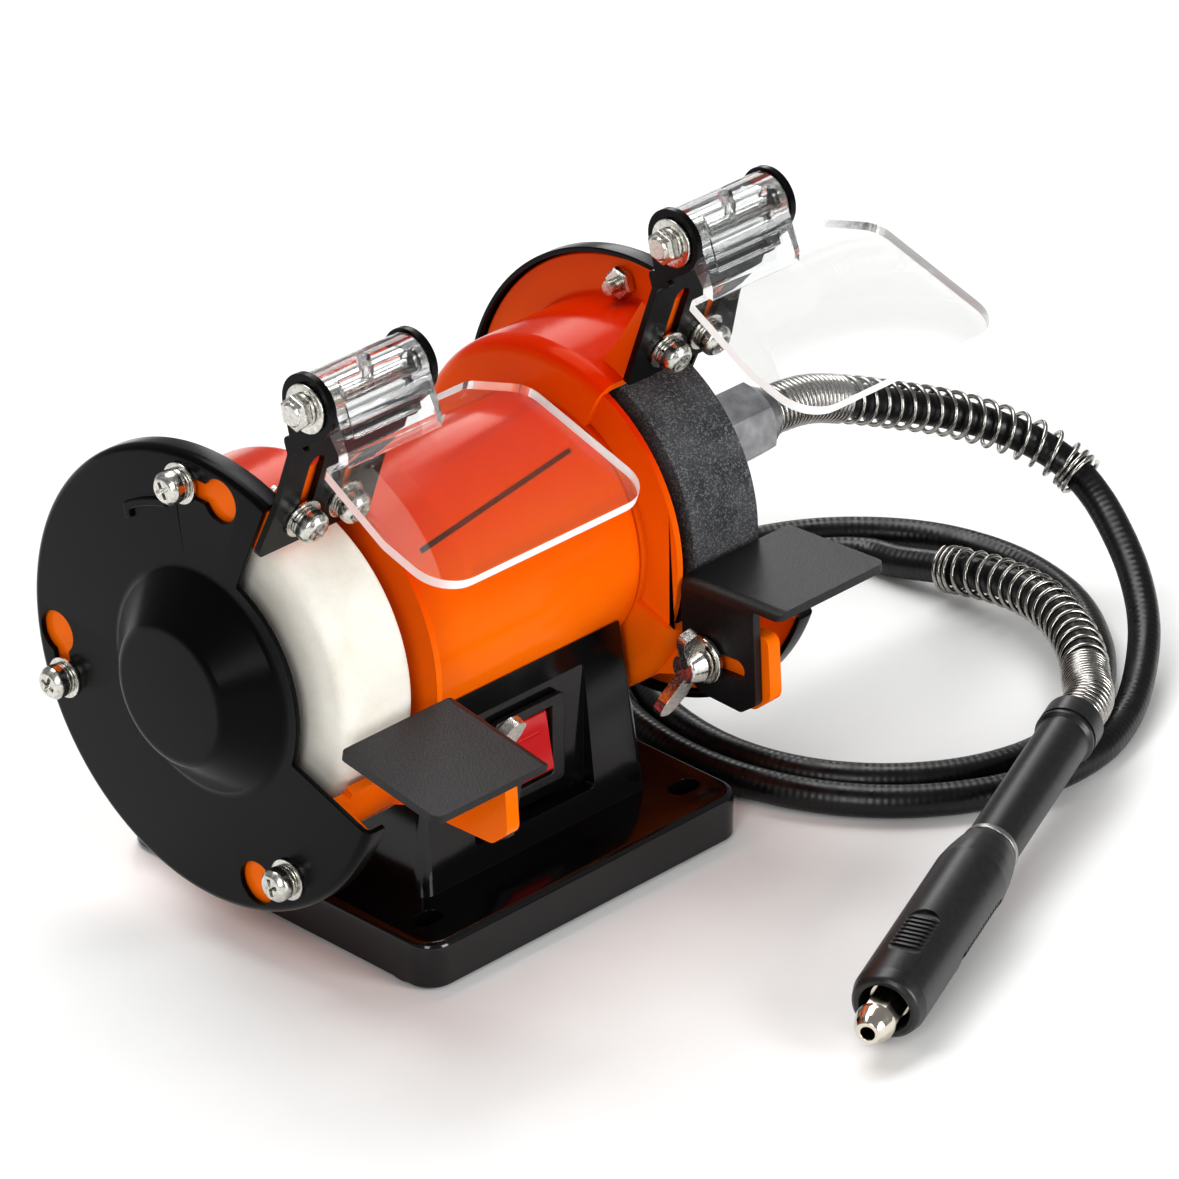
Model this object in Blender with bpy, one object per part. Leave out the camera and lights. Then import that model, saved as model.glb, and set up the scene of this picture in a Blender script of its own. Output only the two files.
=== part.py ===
"""Mini bench grinder with a flexible shaft and handpiece.

Metres, +Z up. The floor is Z = 0 and the spindle runs along X above the origin,
with the felt wheel at -X, the grinding wheel at +X and the user at -Y.
"""

from math import asin, atan2, cos, pi, radians, sin, sqrt

import bmesh
import bpy
import numpy as np
from mathutils import Matrix, Vector

MM = 0.001

# Driving dimensions, in millimetres.
SPINDLE_HEIGHT = 65.5
WHEEL_RADIUS = 37.5
WHEEL_INNER_X = 41.5
WHEEL_OUTER_X = 61.5
BARREL_RADIUS = 29.5
BARREL_HALF = 33.2
POT_RADIUS = 41.0
POT_BORE = 38.9
FLANGE_RADIUS = 50.4
COVER_RADIUS = 52.0
COVER_FACE_X = 67.4
COVER_BACK_X = 62.2
DOME_BASE = 25.2
DOME_TOP = 15.2
DOME_X = 76.7
OPENING_LOW = -20.0
OPENING_HIGH = 65.0
SCREW_CIRCLE = 45.0
SCREW_ANGLES = (96.0, 200.0, -56.0)
KEYHOLE_ANGLES = (81.5, 187.0, -70.0)
BASE_HALF_X = 47.9
BASE_HALF_Y = 46.9
BASE_TOP = 11.5
BOLT_X = 39.0
BOLT_Y = 37.0
SLOT_LONG = 8.0
SLOT_WIDE = 5.0
REST_PIVOT = (-47.0, -17.0)
REST_INNER_X = 35.5
REST_OUTER_X = 69.0
LEFT_REST_TILT = -9.6
RIGHT_REST_TILT = 3.0
LEAN = 19.0
BRACKET_FOOT = (-20.5, 37.3)
HINGE = (-34.0, 76.0)
EAR_X = (38.0, 68.0)
BRACKET_SCREWS_X = (47.5, 59.5)
SHEATH_RADIUS = 3.7
SPRING_RADIUS = 5.6
WIRE = 1.1
COUPLING_END = 103.0
LOOP_CENTRE = (120.0, -17.0)
HAND_START = (114.1, -83.4, -49.6)
HAND_TIP = (-6.3, -131.8, -57.4)

FRONT, UP = (0.0, -1.0), (0.0, 1.0)


def clear_scene():
    for obj in list(bpy.data.objects):
        bpy.data.objects.remove(obj)


def material(name, colour, roughness, metallic=0.0):
    mat = bpy.data.materials.new(name)
    mat.use_nodes = True
    shader = mat.node_tree.nodes["Principled BSDF"]
    shader.inputs["Base Color"].default_value = (*colour, 1.0)
    shader.inputs["Roughness"].default_value = roughness
    shader.inputs["Metallic"].default_value = metallic
    return mat


def finish(name, bm, mat=None, origin=(0, 0, SPINDLE_HEIGHT), smooth=True):
    """Turn a bmesh drawn in millimetres about the spindle centre into an object placed at origin."""
    bmesh.ops.remove_doubles(bm, verts=bm.verts, dist=1e-4)
    bmesh.ops.recalc_face_normals(bm, faces=bm.faces)
    base = Vector((0, 0, SPINDLE_HEIGHT)) - Vector(origin)
    for vert in bm.verts:
        vert.co = (vert.co + base) * MM
    mesh = bpy.data.meshes.new(name)
    bm.to_mesh(mesh)
    bm.free()
    obj = bpy.data.objects.new(name, mesh)
    obj.location = Vector(origin) * MM
    bpy.context.scene.collection.objects.link(obj)
    if mat:
        mesh.materials.append(mat)
    if smooth:
        mesh.shade_smooth()
        mesh.set_sharp_from_angle(angle=radians(35))
    return obj


def turn(profile, sides=32, side=1, centre=(0, 0, 0), turn_by=0.0):
    """Turn a closed profile of (x, radius) points about the X axis; side mirrors it to -X."""
    bm = bmesh.new()
    verts = [bm.verts.new((side * x, 0, r)) for x, r in profile]
    edges = []
    for i, vert in enumerate(verts):
        after = verts[(i + 1) % len(verts)]
        if vert.co.z > 1e-6 or after.co.z > 1e-6:
            edges.append(bm.edges.new((vert, after)))
    bmesh.ops.spin(bm, geom=verts + edges, cent=(0, 0, 0), axis=(1, 0, 0), angle=2 * pi,
                   steps=sides, use_merge=True)
    bmesh.ops.remove_doubles(bm, verts=bm.verts, dist=1e-4)
    bmesh.ops.rotate(bm, verts=bm.verts, cent=(0, 0, 0), matrix=Matrix.Rotation(turn_by, 3, "X"))
    bmesh.ops.translate(bm, verts=bm.verts, vec=centre)
    return bm


def prism(outline, low, high, axis="X"):
    """Extrude an outline along an axis. The outline's plane is YZ for X, XZ for Y and XY for Z."""
    bm = bmesh.new()
    put = {"X": lambda a, b, c: (c, a, b), "Y": lambda a, b, c: (a, c, b), "Z": lambda a, b, c: (a, b, c)}[axis]
    face = bm.faces.new([bm.verts.new(put(a, b, low)) for a, b in outline])
    grown = bmesh.ops.extrude_face_region(bm, geom=[face])
    moved = [v for v in grown["geom"] if isinstance(v, bmesh.types.BMVert)]
    bmesh.ops.translate(bm, verts=moved, vec=put(0, 0, high - low))
    return bm


def box(low, high):
    bm = bmesh.new()
    bmesh.ops.create_cube(bm, size=1.0)
    size = [b - a for a, b in zip(low, high)]
    centre = [(a + b) / 2 for a, b in zip(low, high)]
    bmesh.ops.scale(bm, verts=bm.verts, vec=size)
    bmesh.ops.translate(bm, verts=bm.verts, vec=centre)
    return bm


def rod(radius, low, high, axis="X", centre=(0, 0), sides=16):
    outline = [(centre[0] + radius * cos(2 * pi * i / sides), centre[1] + radius * sin(2 * pi * i / sides))
               for i in range(sides)]
    return prism(outline, low, high, axis)


def helper(name, bm, origin=(0, 0, SPINDLE_HEIGHT)):
    obj = finish(name, bm, origin=origin, smooth=False)
    obj.hide_render = True
    obj.display_type = "WIRE"
    return obj


def combine(obj, bm, how="DIFFERENCE"):
    """Add a live Boolean whose helper shape is drawn in the same frame as the object."""
    tool = helper(f"{obj.name}_{how.lower()}_{len(obj.modifiers)}", bm)
    boolean = obj.modifiers.new(tool.name, "BOOLEAN")
    boolean.operation = how
    boolean.solver = "EXACT"
    boolean.object = tool
    if obj.parent:
        tool.parent = obj.parent
        tool.location -= obj.parent.location
    return tool


def rounded(points, radius, steps=3):
    """Round the corners of an outline; radius is one value or one for each corner."""
    out = []
    count = len(points)
    for i, point in enumerate(points):
        r = radius[i] if isinstance(radius, (list, tuple)) else radius
        p = Vector(point)
        before = (Vector(points[i - 1]) - p).normalized()
        after = (Vector(points[(i + 1) % count]) - p).normalized()
        if r <= 0:
            out.append(tuple(p))
            continue
        half = before.angle(after) / 2
        reach = r / abs(np.tan(half))
        centre = p + (before + after).normalized() * (r / sin(half))
        start = p + before * reach - centre
        end = p + after * reach - centre
        a0, a1 = atan2(start.y, start.x), atan2(end.y, end.x)
        sweep = (a1 - a0 + pi) % (2 * pi) - pi
        for k in range(steps + 1):
            a = a0 + sweep * k / steps
            out.append((centre.x + r * cos(a), centre.y + r * sin(a)))
    return out


def polar(radius, degrees):
    """A point in YZ at an angle measured from the front, -Y, towards up, +Z."""
    a = radians(degrees)
    return (-radius * cos(a), radius * sin(a))


def leaning(along, out=0.0):
    """A point in YZ on the bracket's leaning plane: distance up the plane, and forward of it."""
    a = radians(LEAN)
    return (BRACKET_FOOT[0] - along * sin(a) - out * cos(a), BRACKET_FOOT[1] + along * cos(a) - out * sin(a))


# ---------------------------------------------------------------- base


def plinth_outline(half_x, half_y, radius):
    return rounded([(-half_x, -half_y), (half_x, -half_y), (half_x, half_y), (-half_x, half_y)], radius, 4)


def frustum(low, high, z_low, z_high, radius):
    """A rounded block that tapers from the half sizes low at z_low to high at z_high."""
    bm = bmesh.new()
    rings = []
    for half, z in ((low, z_low), (high, z_high)):
        outline = rounded([(-half[0], -half[1]), (half[0], -half[1]), (half[0], half[1]), (-half[0], half[1])],
                          radius, 3)
        rings.append([bm.verts.new((x, y, z)) for x, y in outline])
    count = len(rings[0])
    for i in range(count):
        j = (i + 1) % count
        bm.faces.new((rings[0][i], rings[0][j], rings[1][j], rings[1][i]))
    bm.faces.new(rings[0][::-1])
    bm.faces.new(rings[1])
    return bm


def slot_outline(x, y, long, wide, steps=6):
    reach = (long - wide) / 2
    out = []
    for end, start in ((1, -90), (-1, 90)):
        for k in range(steps + 1):
            a = radians(start + 180 * k / steps)
            out.append((x + end * reach + wide / 2 * cos(a), y + wide / 2 * sin(a)))
    return out


def build_base(black, steel):
    floor = -SPINDLE_HEIGHT
    top = floor + BASE_TOP
    shell = finish("base_shell", prism(plinth_outline(BASE_HALF_X, BASE_HALF_Y, 6), floor + 0.5, top, "Z"), black)
    for sx in (-1, 1):
        for sy in (-1, 1):
            foot = rod(8.2, floor, top - 1.5, "Z", (sx * BOLT_X, sy * BOLT_Y), 20)
            combine(shell, foot, "UNION")
    combine(shell, frustum((34.5, 31.5), (29.0, 28.3), top - 1, -8.9, 3), "UNION")
    combine(shell, rod(BARREL_RADIUS + 0.3, -50, 50, "X", (0, 0), 40))
    cavity = frustum((31.9, 28.9), (26.6, 25.9), floor - 1, -8.9, 2)
    hollow = combine(shell, cavity)
    crown = helper("base_cavity_crown", rod(BARREL_RADIUS + 2.8, -50, 50, "X", (0, 0), 24))
    trim = hollow.modifiers.new("crown", "BOOLEAN")
    trim.operation = "DIFFERENCE"
    trim.solver = "EXACT"
    trim.object = crown
    combine(shell, box((-45.4, -27.5, floor - 1), (45.4, 27.5, top - 2.5)))
    combine(shell, box((-29.5, -44.4, floor - 1), (29.5, 44.4, top - 2.5)))
    for sx in (-1, 1):
        for sy in (-1, 1):
            combine(shell, prism(slot_outline(sx * BOLT_X, sy * BOLT_Y, SLOT_LONG, SLOT_WIDE), floor - 1, top + 1, "Z"))
    combine(shell, box((-18, -34, floor + 17.5), (18, -27.2, floor + 46.5)))
    combine(shell, box((-9.2, -30, floor + 23.8), (9.2, -20, floor + 41.4)))
    combine(shell, rod(4.4, 20, 36, "Y", (-14, floor + 22), 16))
    plate = finish("base_plate", prism(plinth_outline(29.2, 44.1, 3), floor, floor + 1.8, "Z"), steel)
    for sx in (-1, 1):
        combine(plate, rod(1.8, floor - 1, floor + 4, "Z", (sx * 22, 0), 12))
        combine(plate, rod(3.6, floor - 1, floor + 1.2, "Z", (sx * 22, 0), 12))
        screw = [(0.1, 0), (0.1, 3.2), (0.9, 3.2), (0.9, 1.4), (9.0, 1.4), (9.0, 0)]
        bm = turn(screw, 12)
        bmesh.ops.rotate(bm, verts=bm.verts, cent=(0, 0, 0), matrix=Matrix.Rotation(-pi / 2, 3, "Y"))
        bmesh.ops.translate(bm, verts=bm.verts, vec=(sx * 22, 0, floor))
        finish("base_plate_screw_left" if sx < 0 else "base_plate_screw_right", bm, steel)
    gland = turn([(24.0, 2.9), (24.0, 4.0), (31.8, 4.0), (31.8, 5.8), (33.6, 5.8), (44.0, 4.0), (44.0, 2.9)], 12)
    bmesh.ops.rotate(gland, verts=gland.verts, cent=(0, 0, 0), matrix=Matrix.Rotation(pi / 2, 3, "Z"))
    bmesh.ops.translate(gland, verts=gland.verts, vec=(-14, 0, floor + 22))
    finish("cord_gland", gland, black)


def build_switch(black, red):
    z = -SPINDLE_HEIGHT + 33
    body = finish("switch_body", prism(rounded([(-10.5, z - 10.5), (10.5, z - 10.5), (10.5, z + 10.5), (-10.5, z + 10.5)], 1.2),
                                       -29.2, -27.5, "Y"), black)
    combine(body, box((-8.8, -28, z - 8.6), (8.8, -20.5, z + 5.0)), "UNION")
    combine(body, box((-6.8, -32, z - 8.2), (6.8, -22.5, z + 8.2)))
    pivot = (0, -25.5, SPINDLE_HEIGHT + z)
    outline = [(-25.2, z - 7.5), (-28.4, z - 7.5), (-30.2, z - 6.4), (-28.9, z), (-27.6, z + 7.5), (-25.2, z + 4.4),
               (-23.6, z)]
    rocker = prism(outline, -6.2, 6.2, "X")
    finish("switch_rocker", rocker, red, origin=pivot, smooth=False)


# ---------------------------------------------------------------- castings and covers


def sector(low, high, inner, outer=62.0, steps=8):
    points = [polar(inner, low + (high - low) * k / steps) for k in range(steps + 1)]
    points.append(polar(outer, high))
    points.append(polar(outer * 1.25, (low + high) / 2))
    points.append(polar(outer, low))
    return points


def build_guard(side, orange):
    name = "left_guard" if side < 0 else "right_guard"
    profile = [(27.0, 13.2), (27.0, 15.6), (33.5, 15.6), (33.5, 25.9), (30.6, 25.9), (30.6, 27.6), (33.5, 27.6),
               (33.5, 36.4), (34.3, 38.9), (35.6, 40.4), (37.4, POT_RADIUS), (63.7, POT_RADIUS),
               (63.7, FLANGE_RADIUS), (65.9, FLANGE_RADIUS), (65.9, POT_BORE), (37.6, POT_BORE), (36.5, 37.8),
               (36.5, 7.0), (35.6, 7.0), (35.6, 13.2)]
    guard = finish(name, turn(profile, 32, side), orange)
    spans = lambda a, b: (min(side * a, side * b), max(side * a, side * b))
    combine(guard, prism(sector(OPENING_LOW, OPENING_HIGH, 25.0), *spans(37.8, 72.0)))
    combine(guard, prism(sector(OPENING_LOW, OPENING_HIGH, 38.5), *spans(33.6, 38.0)))
    root = [polar(39.9, a) for a in (-47, -38, -30, -22)]
    lug = root + rounded([(-47.0, -9.0), (-62.5, -7.5), (-63.5, -22.0), (-59.0, -26.0), (-42.0, -26.5)],
                         [3, 2, 3, 3, 2], 2)
    combine(guard, prism(lug, *spans(37.8, 41.3)), "UNION")
    pad = [leaning(0.6, -1.8), leaning(19.5, -1.8), leaning(19.5, -4.6), leaning(6.0, -7.5), polar(40.0, 75),
           polar(39.6, 66)]
    combine(guard, prism(pad, *spans(40.5, 61.9)), "UNION")
    combine(guard, rod(2.2, *spans(37, 42), "X", REST_PIVOT, 12))
    for x in BRACKET_SCREWS_X:
        hole = rod(1.75, -12, 6, "Z", (0, 0), 12)
        lean_hole(hole, side * x, 7.0)
        combine(guard, hole)
    for angle in SCREW_ANGLES:
        combine(guard, rod(2.2, *spans(62, 68), "X", polar(SCREW_CIRCLE, angle), 10))
    return guard


def lean_hole(bm, x, along):
    """Move a shape drawn along +Z at the centre so that +Z runs forward out of the bracket's plane."""
    forward = Vector((0, -cos(radians(LEAN)), -sin(radians(LEAN))))
    bmesh.ops.rotate(bm, verts=bm.verts, cent=(0, 0, 0), matrix=forward.to_track_quat("Z", "X").to_matrix())
    y, z = leaning(along)
    bmesh.ops.translate(bm, verts=bm.verts, vec=(x, y, z))


def keyhole(angle, towards):
    """Outline of a round hole with a narrow slot that runs along the screw circle."""
    round_r, slot_r = 4.8, 2.3
    centre = Vector(polar(SCREW_CIRCLE, angle))
    end = Vector(polar(SCREW_CIRCLE, towards))
    along = (end - centre).normalized()
    across = Vector((-along.y, along.x))
    start = asin(slot_r / round_r)
    points = []
    for k in range(13):
        a = start + (2 * pi - 2 * start) * k / 12
        points.append(centre + along * (round_r * cos(a)) + across * (round_r * sin(a)))
    for k in range(7):
        a = -pi / 2 + pi * k / 6
        points.append(end + along * (slot_r * cos(a)) + across * (slot_r * sin(a)))
    return [tuple(p) for p in points]


def build_cover(side, black):
    name = "left_cover" if side < 0 else "right_cover"
    outer = [(COVER_BACK_X, COVER_RADIUS), (66.5, COVER_RADIUS), (COVER_FACE_X, COVER_RADIUS - 0.9),
             (COVER_FACE_X, DOME_BASE), (75.6, DOME_TOP + 1.2), (DOME_X, DOME_TOP - 0.4)]
    inner = [(75.5, DOME_TOP - 0.7), (66.2, DOME_BASE - 1.0), (66.2, 50.8), (COVER_BACK_X, 50.8)]
    middle = [(DOME_X, 0), (75.5, 0)] if side < 0 else [(DOME_X, 6.4), (75.5, 6.4)]
    cover = finish(name, turn(outer + middle + inner, 32, side), black)
    low, high = sorted((side * 61.0, side * 69.0))
    combine(cover, prism(sector(OPENING_LOW + 0.4, 67.0, 28.4, 60, 10), low, high))
    for angle, towards in zip(KEYHOLE_ANGLES, SCREW_ANGLES):
        combine(cover, prism(keyhole(angle, towards), low, high))
    return cover


def build_cover_screws(side, zinc):
    profile = [(59.6, 0), (59.6, 1.7), (60.8, 1.7), (60.8, 3.7), (63.4, 3.7), (63.4, 1.7), (67.7, 1.7), (67.7, 4.6),
               (68.5, 4.6), (68.5, 3.7), (70.8, 3.7), (71.9, 2.2), (71.9, 0)]
    for i, angle in enumerate(SCREW_ANGLES):
        y, z = polar(SCREW_CIRCLE, angle)
        name = f"{'left' if side < 0 else 'right'}_cover_screw_{i + 1}"
        finish(name, turn(profile, 10, side, (0, y, z)), zinc)


# ---------------------------------------------------------------- motor


def build_motor(orange, laminations, copper, steel, brass, black, graphite):
    finish("motor_barrel", turn([(-BARREL_HALF, 28.0), (-BARREL_HALF, BARREL_RADIUS), (BARREL_HALF, BARREL_RADIUS),
                                 (BARREL_HALF, 28.0)], 40), orange)
    core = finish("stator_core", turn([(-11, 24.6), (-11, 27.6), (15, 27.6), (15, 24.6)], 32), laminations)
    for sy in (-1, 1):
        low, high = sorted((sy * 13.0, sy * 25.4))
        pole = combine(core, box((-11, low, -9), (15, high, 9)), "UNION")
    combine(core, rod(15.5, -12, 16, "X", (0, 0), 20))
    for sy, name in ((-1, "field_coil_front"), (1, "field_coil_rear")):
        low, high = sorted((sy * 15.8, sy * 20.2))
        coil = finish(name, prism(rounded([(-16, -12.8), (20, -12.8), (20, 12.8), (-16, 12.8)], 3, 2), low, high, "Y"), copper)
        combine(coil, box((-11.3, low - 1, -9.3), (15.3, high + 1, 9.3)))
    for side in (-1, 1):
        name = "bearing_left" if side < 0 else "bearing_right"
        finish(name, turn([(27.3, 5.4), (27.3, 12.8), (35.2, 12.8), (35.2, 5.4)], 16, side), steel)
    ring = finish("brush_ring", turn([(-25, 20.5), (-25, 27.6), (-18, 27.6), (-18, 20.5)], 24), black)
    for sy in (-1, 1):
        low, high = sorted((sy * 10.8, sy * 22.0))
        combine(ring, box((-25, low, -4.6), (-18, high, 4.6)), "UNION")
    for sy, name in ((-1, "brush_front"), (1, "brush_rear")):
        low, high = sorted((sy * 9.8, sy * 28.5))
        combine(ring, box((-24, low, -3.1), (-19, high, 3.1)))
        low, high = sorted((sy * 9.4, sy * 18.5))
        finish(name, box((-23.7, low, -2.8), (-19.3, high, 2.8)), graphite, smooth=False)


def on_spindle(obj, axis):
    obj.parent = axis
    obj.location -= axis.location
    for modifier in obj.modifiers:
        tool = modifier.object
        tool.parent = axis
        tool.location -= axis.location


def build_rotor(steel, laminations, copper, brass, plastic, felt, stone, zinc):
    axis = bpy.data.objects.new("spindle_axis", None)
    axis.location = (0, 0, SPINDLE_HEIGHT * MM)
    bpy.context.scene.collection.objects.link(axis)
    half = [(0, 5.0), (38.3, 5.0), (38.3, 15.0), (41.2, 15.0), (41.2, 5.0), (73.6, 5.0)]
    profile = [(-x, r) for x, r in half[::-1] if x > 0] + [(x, r) for x, r in half if x > 0]
    profile = [(-73.6, 0)] + profile + [(73.6, 0)]
    shaft = finish("arbor_shaft", turn(profile, 14), steel)
    core = finish("armature_core", turn([(-10, 5.4), (-10, 14.9), (14, 14.9), (14, 5.4)], 24), laminations)
    winding = finish("armature_winding", turn([(-16, 8.6), (-16, 12.8), (-10.3, 13.4), (-10.3, 8.6)], 16), copper)
    combine(winding, turn([(14.3, 8.6), (14.3, 13.4), (20.3, 12.8), (20.3, 8.6)], 16), "UNION")
    for k in range(8):
        turned = Matrix.Rotation(2 * pi * (k + 0.5) / 8, 3, "X")
        slot = box((-12, -1.5, 9.3), (16, 1.5, 16.0))
        bmesh.ops.rotate(slot, verts=slot.verts, cent=(0, 0, 0), matrix=turned)
        combine(core, slot)
        bar = box((-11, -1.2, 9.7), (15, 1.2, 13.2))
        bmesh.ops.rotate(bar, verts=bar.verts, cent=(0, 0, 0), matrix=turned)
        combine(winding, bar, "UNION")
    commutator = finish("commutator", turn([(-26, 5.4), (-26, 9.0), (-17.5, 9.0), (-17.5, 5.4)], 16), brass)
    fan = finish("cooling_fan", turn([(20.9, 5.4), (20.9, 9.5), (25.4, 9.5), (25.4, 25.5), (26.6, 25.5), (26.6, 5.4)], 16), plastic)
    for k in range(8):
        blade = box((20.9, -0.7, 8.6), (26.0, 0.7, 25.2))
        bmesh.ops.rotate(blade, verts=blade.verts, cent=(0, 0, 0), matrix=Matrix.Rotation(2 * pi * k / 8, 3, "X"))
        combine(fan, blade, "UNION")
    r, a, b = WHEEL_RADIUS, WHEEL_INNER_X, WHEEL_OUTER_X
    soft = [(a, 5.4), (a, r - 2.2), (a + 2.2, r), (b - 2.2, r), (b, r - 2.2), (b, 5.4)]
    hard = [(a, 5.4), (a, r), (b, r), (b, 5.4)]
    parts = [shaft, core, winding, commutator, fan]
    parts.append(finish("felt_wheel", turn(soft, 32, -1), felt))
    parts.append(finish("grinding_wheel", turn(hard, 32), stone))
    flange = [(b + 0.3, 5.4), (b + 0.3, 15.0), (b + 2.8, 14.0), (b + 2.8, 5.4)]
    nut = [(b + 3.1, 5.9), (b + 3.1, 8.7), (b + 9.1, 8.7), (b + 9.1, 5.9)]
    for side, word in ((-1, "left"), (1, "right")):
        parts.append(finish(f"{word}_outer_flange", turn(flange, 16, side), steel))
        parts.append(finish(f"{word}_arbor_nut", turn(nut, 6, side), zinc, smooth=False))
    for obj in parts:
        on_spindle(obj, axis)


# ---------------------------------------------------------------- tool rests


def build_rest(side, tilt, satin, zinc):
    word = "left" if side < 0 else "right"
    py, pz = REST_PIVOT
    low, high = sorted((side * REST_INNER_X, side * REST_OUTER_X))
    origin = (side * (REST_INNER_X + 1), py, SPINDLE_HEIGHT + pz)
    plate = rounded([(low, -68.5), (high, -68.5), (high, -40.0), (low, -40.0)], [2, 2, 1.2, 1.2], 2)
    rest = finish(f"{word}_tool_rest", prism(plate, -2.0, 0.0, "Z"), satin, origin=origin)
    inner, outer = sorted((side * REST_INNER_X, side * (REST_INNER_X + 2)))
    leg = rounded([(-40.0, -0.5), (-61.0, -0.5), (-61.0, -24.0), (-56.5, -27.0), (-44.5, -26.0), (-40.0, -22.0)],
                  [0, 0, 2, 2, 2, 2], 2)
    slot = slot_outline(-49.0, pz, 18.0, 4.6)
    tools = [combine(rest, prism(leg, inner, outer), "UNION"),
             combine(rest, prism(slot, inner - 1, outer + 1))]
    for tool in tools:
        place = tool.matrix_world.copy()
        tool.parent = rest
        tool.matrix_parent_inverse = Matrix.Translation(-Vector(origin) * MM)
        tool.location = (0, 0, SPINDLE_HEIGHT * MM)
    rest.rotation_euler.x = radians(-tilt)
    bolt_origin = (side * 33.0, py, SPINDLE_HEIGHT + pz)
    washer = turn([(33.7, 2.3), (33.7, 5.4), (34.9, 5.4), (34.9, 2.3)], 16, side, (0, py, pz))
    finish(f"{word}_rest_washer", washer, zinc, origin=bolt_origin)
    hub = [(41.2, 0), (41.2, 1.9), (33.4, 1.9), (33.4, 4.2), (31.6, 4.2), (30.8, 3.6), (28.0, 3.2), (28.0, 0)]
    bolt = finish(f"{word}_wing_bolt", turn(hub, 12, side, (0, py, pz)), zinc, origin=bolt_origin)
    for lean in (20, 200):
        wing = prism([(side * 32.6, 1.5), (side * 31.0, 8.0), (side * 27.0, 12.0), (side * 23.6, 11.0), (side * 24.4, 8.2),
                      (side * 28.4, 1.5)], -1.2, 1.2, "Y")
        bmesh.ops.rotate(wing, verts=wing.verts, cent=(0, 0, 0), matrix=Matrix.Rotation(radians(lean), 3, "X"))
        bmesh.ops.translate(wing, verts=wing.verts, vec=(0, py, pz))
        combine(bolt, wing, "UNION")


# ---------------------------------------------------------------- eye shields


def build_bracket(side, satin, zinc):
    word = "left" if side < 0 else "right"
    a, b = sorted((side * EAR_X[0], side * EAR_X[1]))
    plate_line = [leaning(0, 0), leaning(31.5, 0), leaning(31.5, -1.5), leaning(0, -1.5)]
    bracket = finish(f"{word}_shield_bracket", prism(plate_line, a, b), satin)
    head = [leaning(41.0 + 7.2 * sin(radians(t)), 7.2 * cos(radians(t))) for t in range(-30, 211, 24)]
    ear = head + [leaning(31.0, -4.6), leaning(27.0, -1.5), leaning(27.0, 0.0), leaning(31.0, 4.6)]
    for x in (a, b - 1.5):
        tab = combine(bracket, prism(ear, x, x + 1.5), "UNION")
    combine(bracket, rod(2.3, a - 1, b + 1, "X", HINGE, 12))
    corner = BRACKET_SCREWS_X
    for x in corner:
        slot = prism(slot_outline(14.0, 0.0, 20.0, 4.2), -4, 4, "Z")
        bmesh.ops.rotate(slot, verts=slot.verts, cent=(0, 0, 0), matrix=Matrix(((0, 1, 0), (1, 0, 0), (0, 0, -1))))
        bmesh.ops.rotate(slot, verts=slot.verts, cent=(0, 0, 0), matrix=Matrix.Rotation(radians(90 + LEAN), 3, "X"))
        y, z = leaning(0)
        bmesh.ops.translate(slot, verts=slot.verts, vec=(side * x, y, z))
        combine(bracket, slot)
    for i, x in enumerate(corner):
        profile = [(-9.0, 0), (-9.0, 1.5), (0.3, 1.5), (0.3, 4.4), (1.1, 4.4), (1.1, 3.7), (3.4, 3.7), (4.5, 2.2), (4.5, 0)]
        bm = turn(profile, 10)
        bmesh.ops.rotate(bm, verts=bm.verts, cent=(0, 0, 0), matrix=Matrix.Rotation(-pi / 2, 3, "Y"))
        lean_hole(bm, side * x, 7.0)
        finish(f"{word}_bracket_screw_{i + 1}", bm, zinc)
    middle = side * (EAR_X[0] + EAR_X[1]) / 2
    bolt = [(-20.0, 0), (-20.0, 3.0), (-19.4, 3.6), (-16.6, 3.6), (-16.6, 5.2), (-15.3, 5.2), (-15.3, 1.9), (16.9, 1.9),
            (16.9, 0)]
    finish(f"{word}_shield_bolt", turn(bolt, 12, 1, (middle, *HINGE)), zinc)


def build_shield(side, clear):
    word = "left" if side < 0 else "right"
    y, z = HINGE
    middle = side * (EAR_X[0] + EAR_X[1]) / 2
    origin = (middle, y, SPINDLE_HEIGHT + z)
    barrel = turn([(-13.2, 2.5), (-13.2, 6.5), (13.2, 6.5), (13.2, 2.5)], 20, 1, (middle, y, z))
    shield = finish(f"{word}_shield", barrel, clear, origin=origin)
    arm = [(y - 3.2, z + 0.5), (y - 6.3, z + 1.0), (y - 9.8, z - 8.2), (y - 9.8, z - 12.2), (y - 7.0, z - 12.2),
           (y - 7.0, z - 9.0), (y - 3.6, z - 4.2)]
    tools = [combine(shield, prism(arm, middle - 13.2, middle + 13.2), "UNION")]
    outline = rounded([(-17.5, -7.4), (-22.0, -30.0), (-22.0, -47.4), (38.5, -47.4), (38.5, -9.5), (28.0, -2.0), (16.5, -2.0),
                       (16.5, -7.4)], [1, 4, 8, 8, 4, 3, 1, 0], 3)
    sheet = prism([(middle + a, b) for a, b in outline], -2.2, 0.0, "Z")
    bmesh.ops.rotate(sheet, verts=sheet.verts, cent=(0, -7.4, 0), matrix=Matrix.Rotation(radians(17), 3, "X"))
    bmesh.ops.translate(sheet, verts=sheet.verts, vec=(0, y, z - 10.2))
    tools.append(combine(shield, sheet, "UNION"))
    tools.append(combine(shield, rod(2.5, middle - 15, middle + 15, "X", HINGE, 12)))
    return shield


# ---------------------------------------------------------------- flexible shaft


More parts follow.
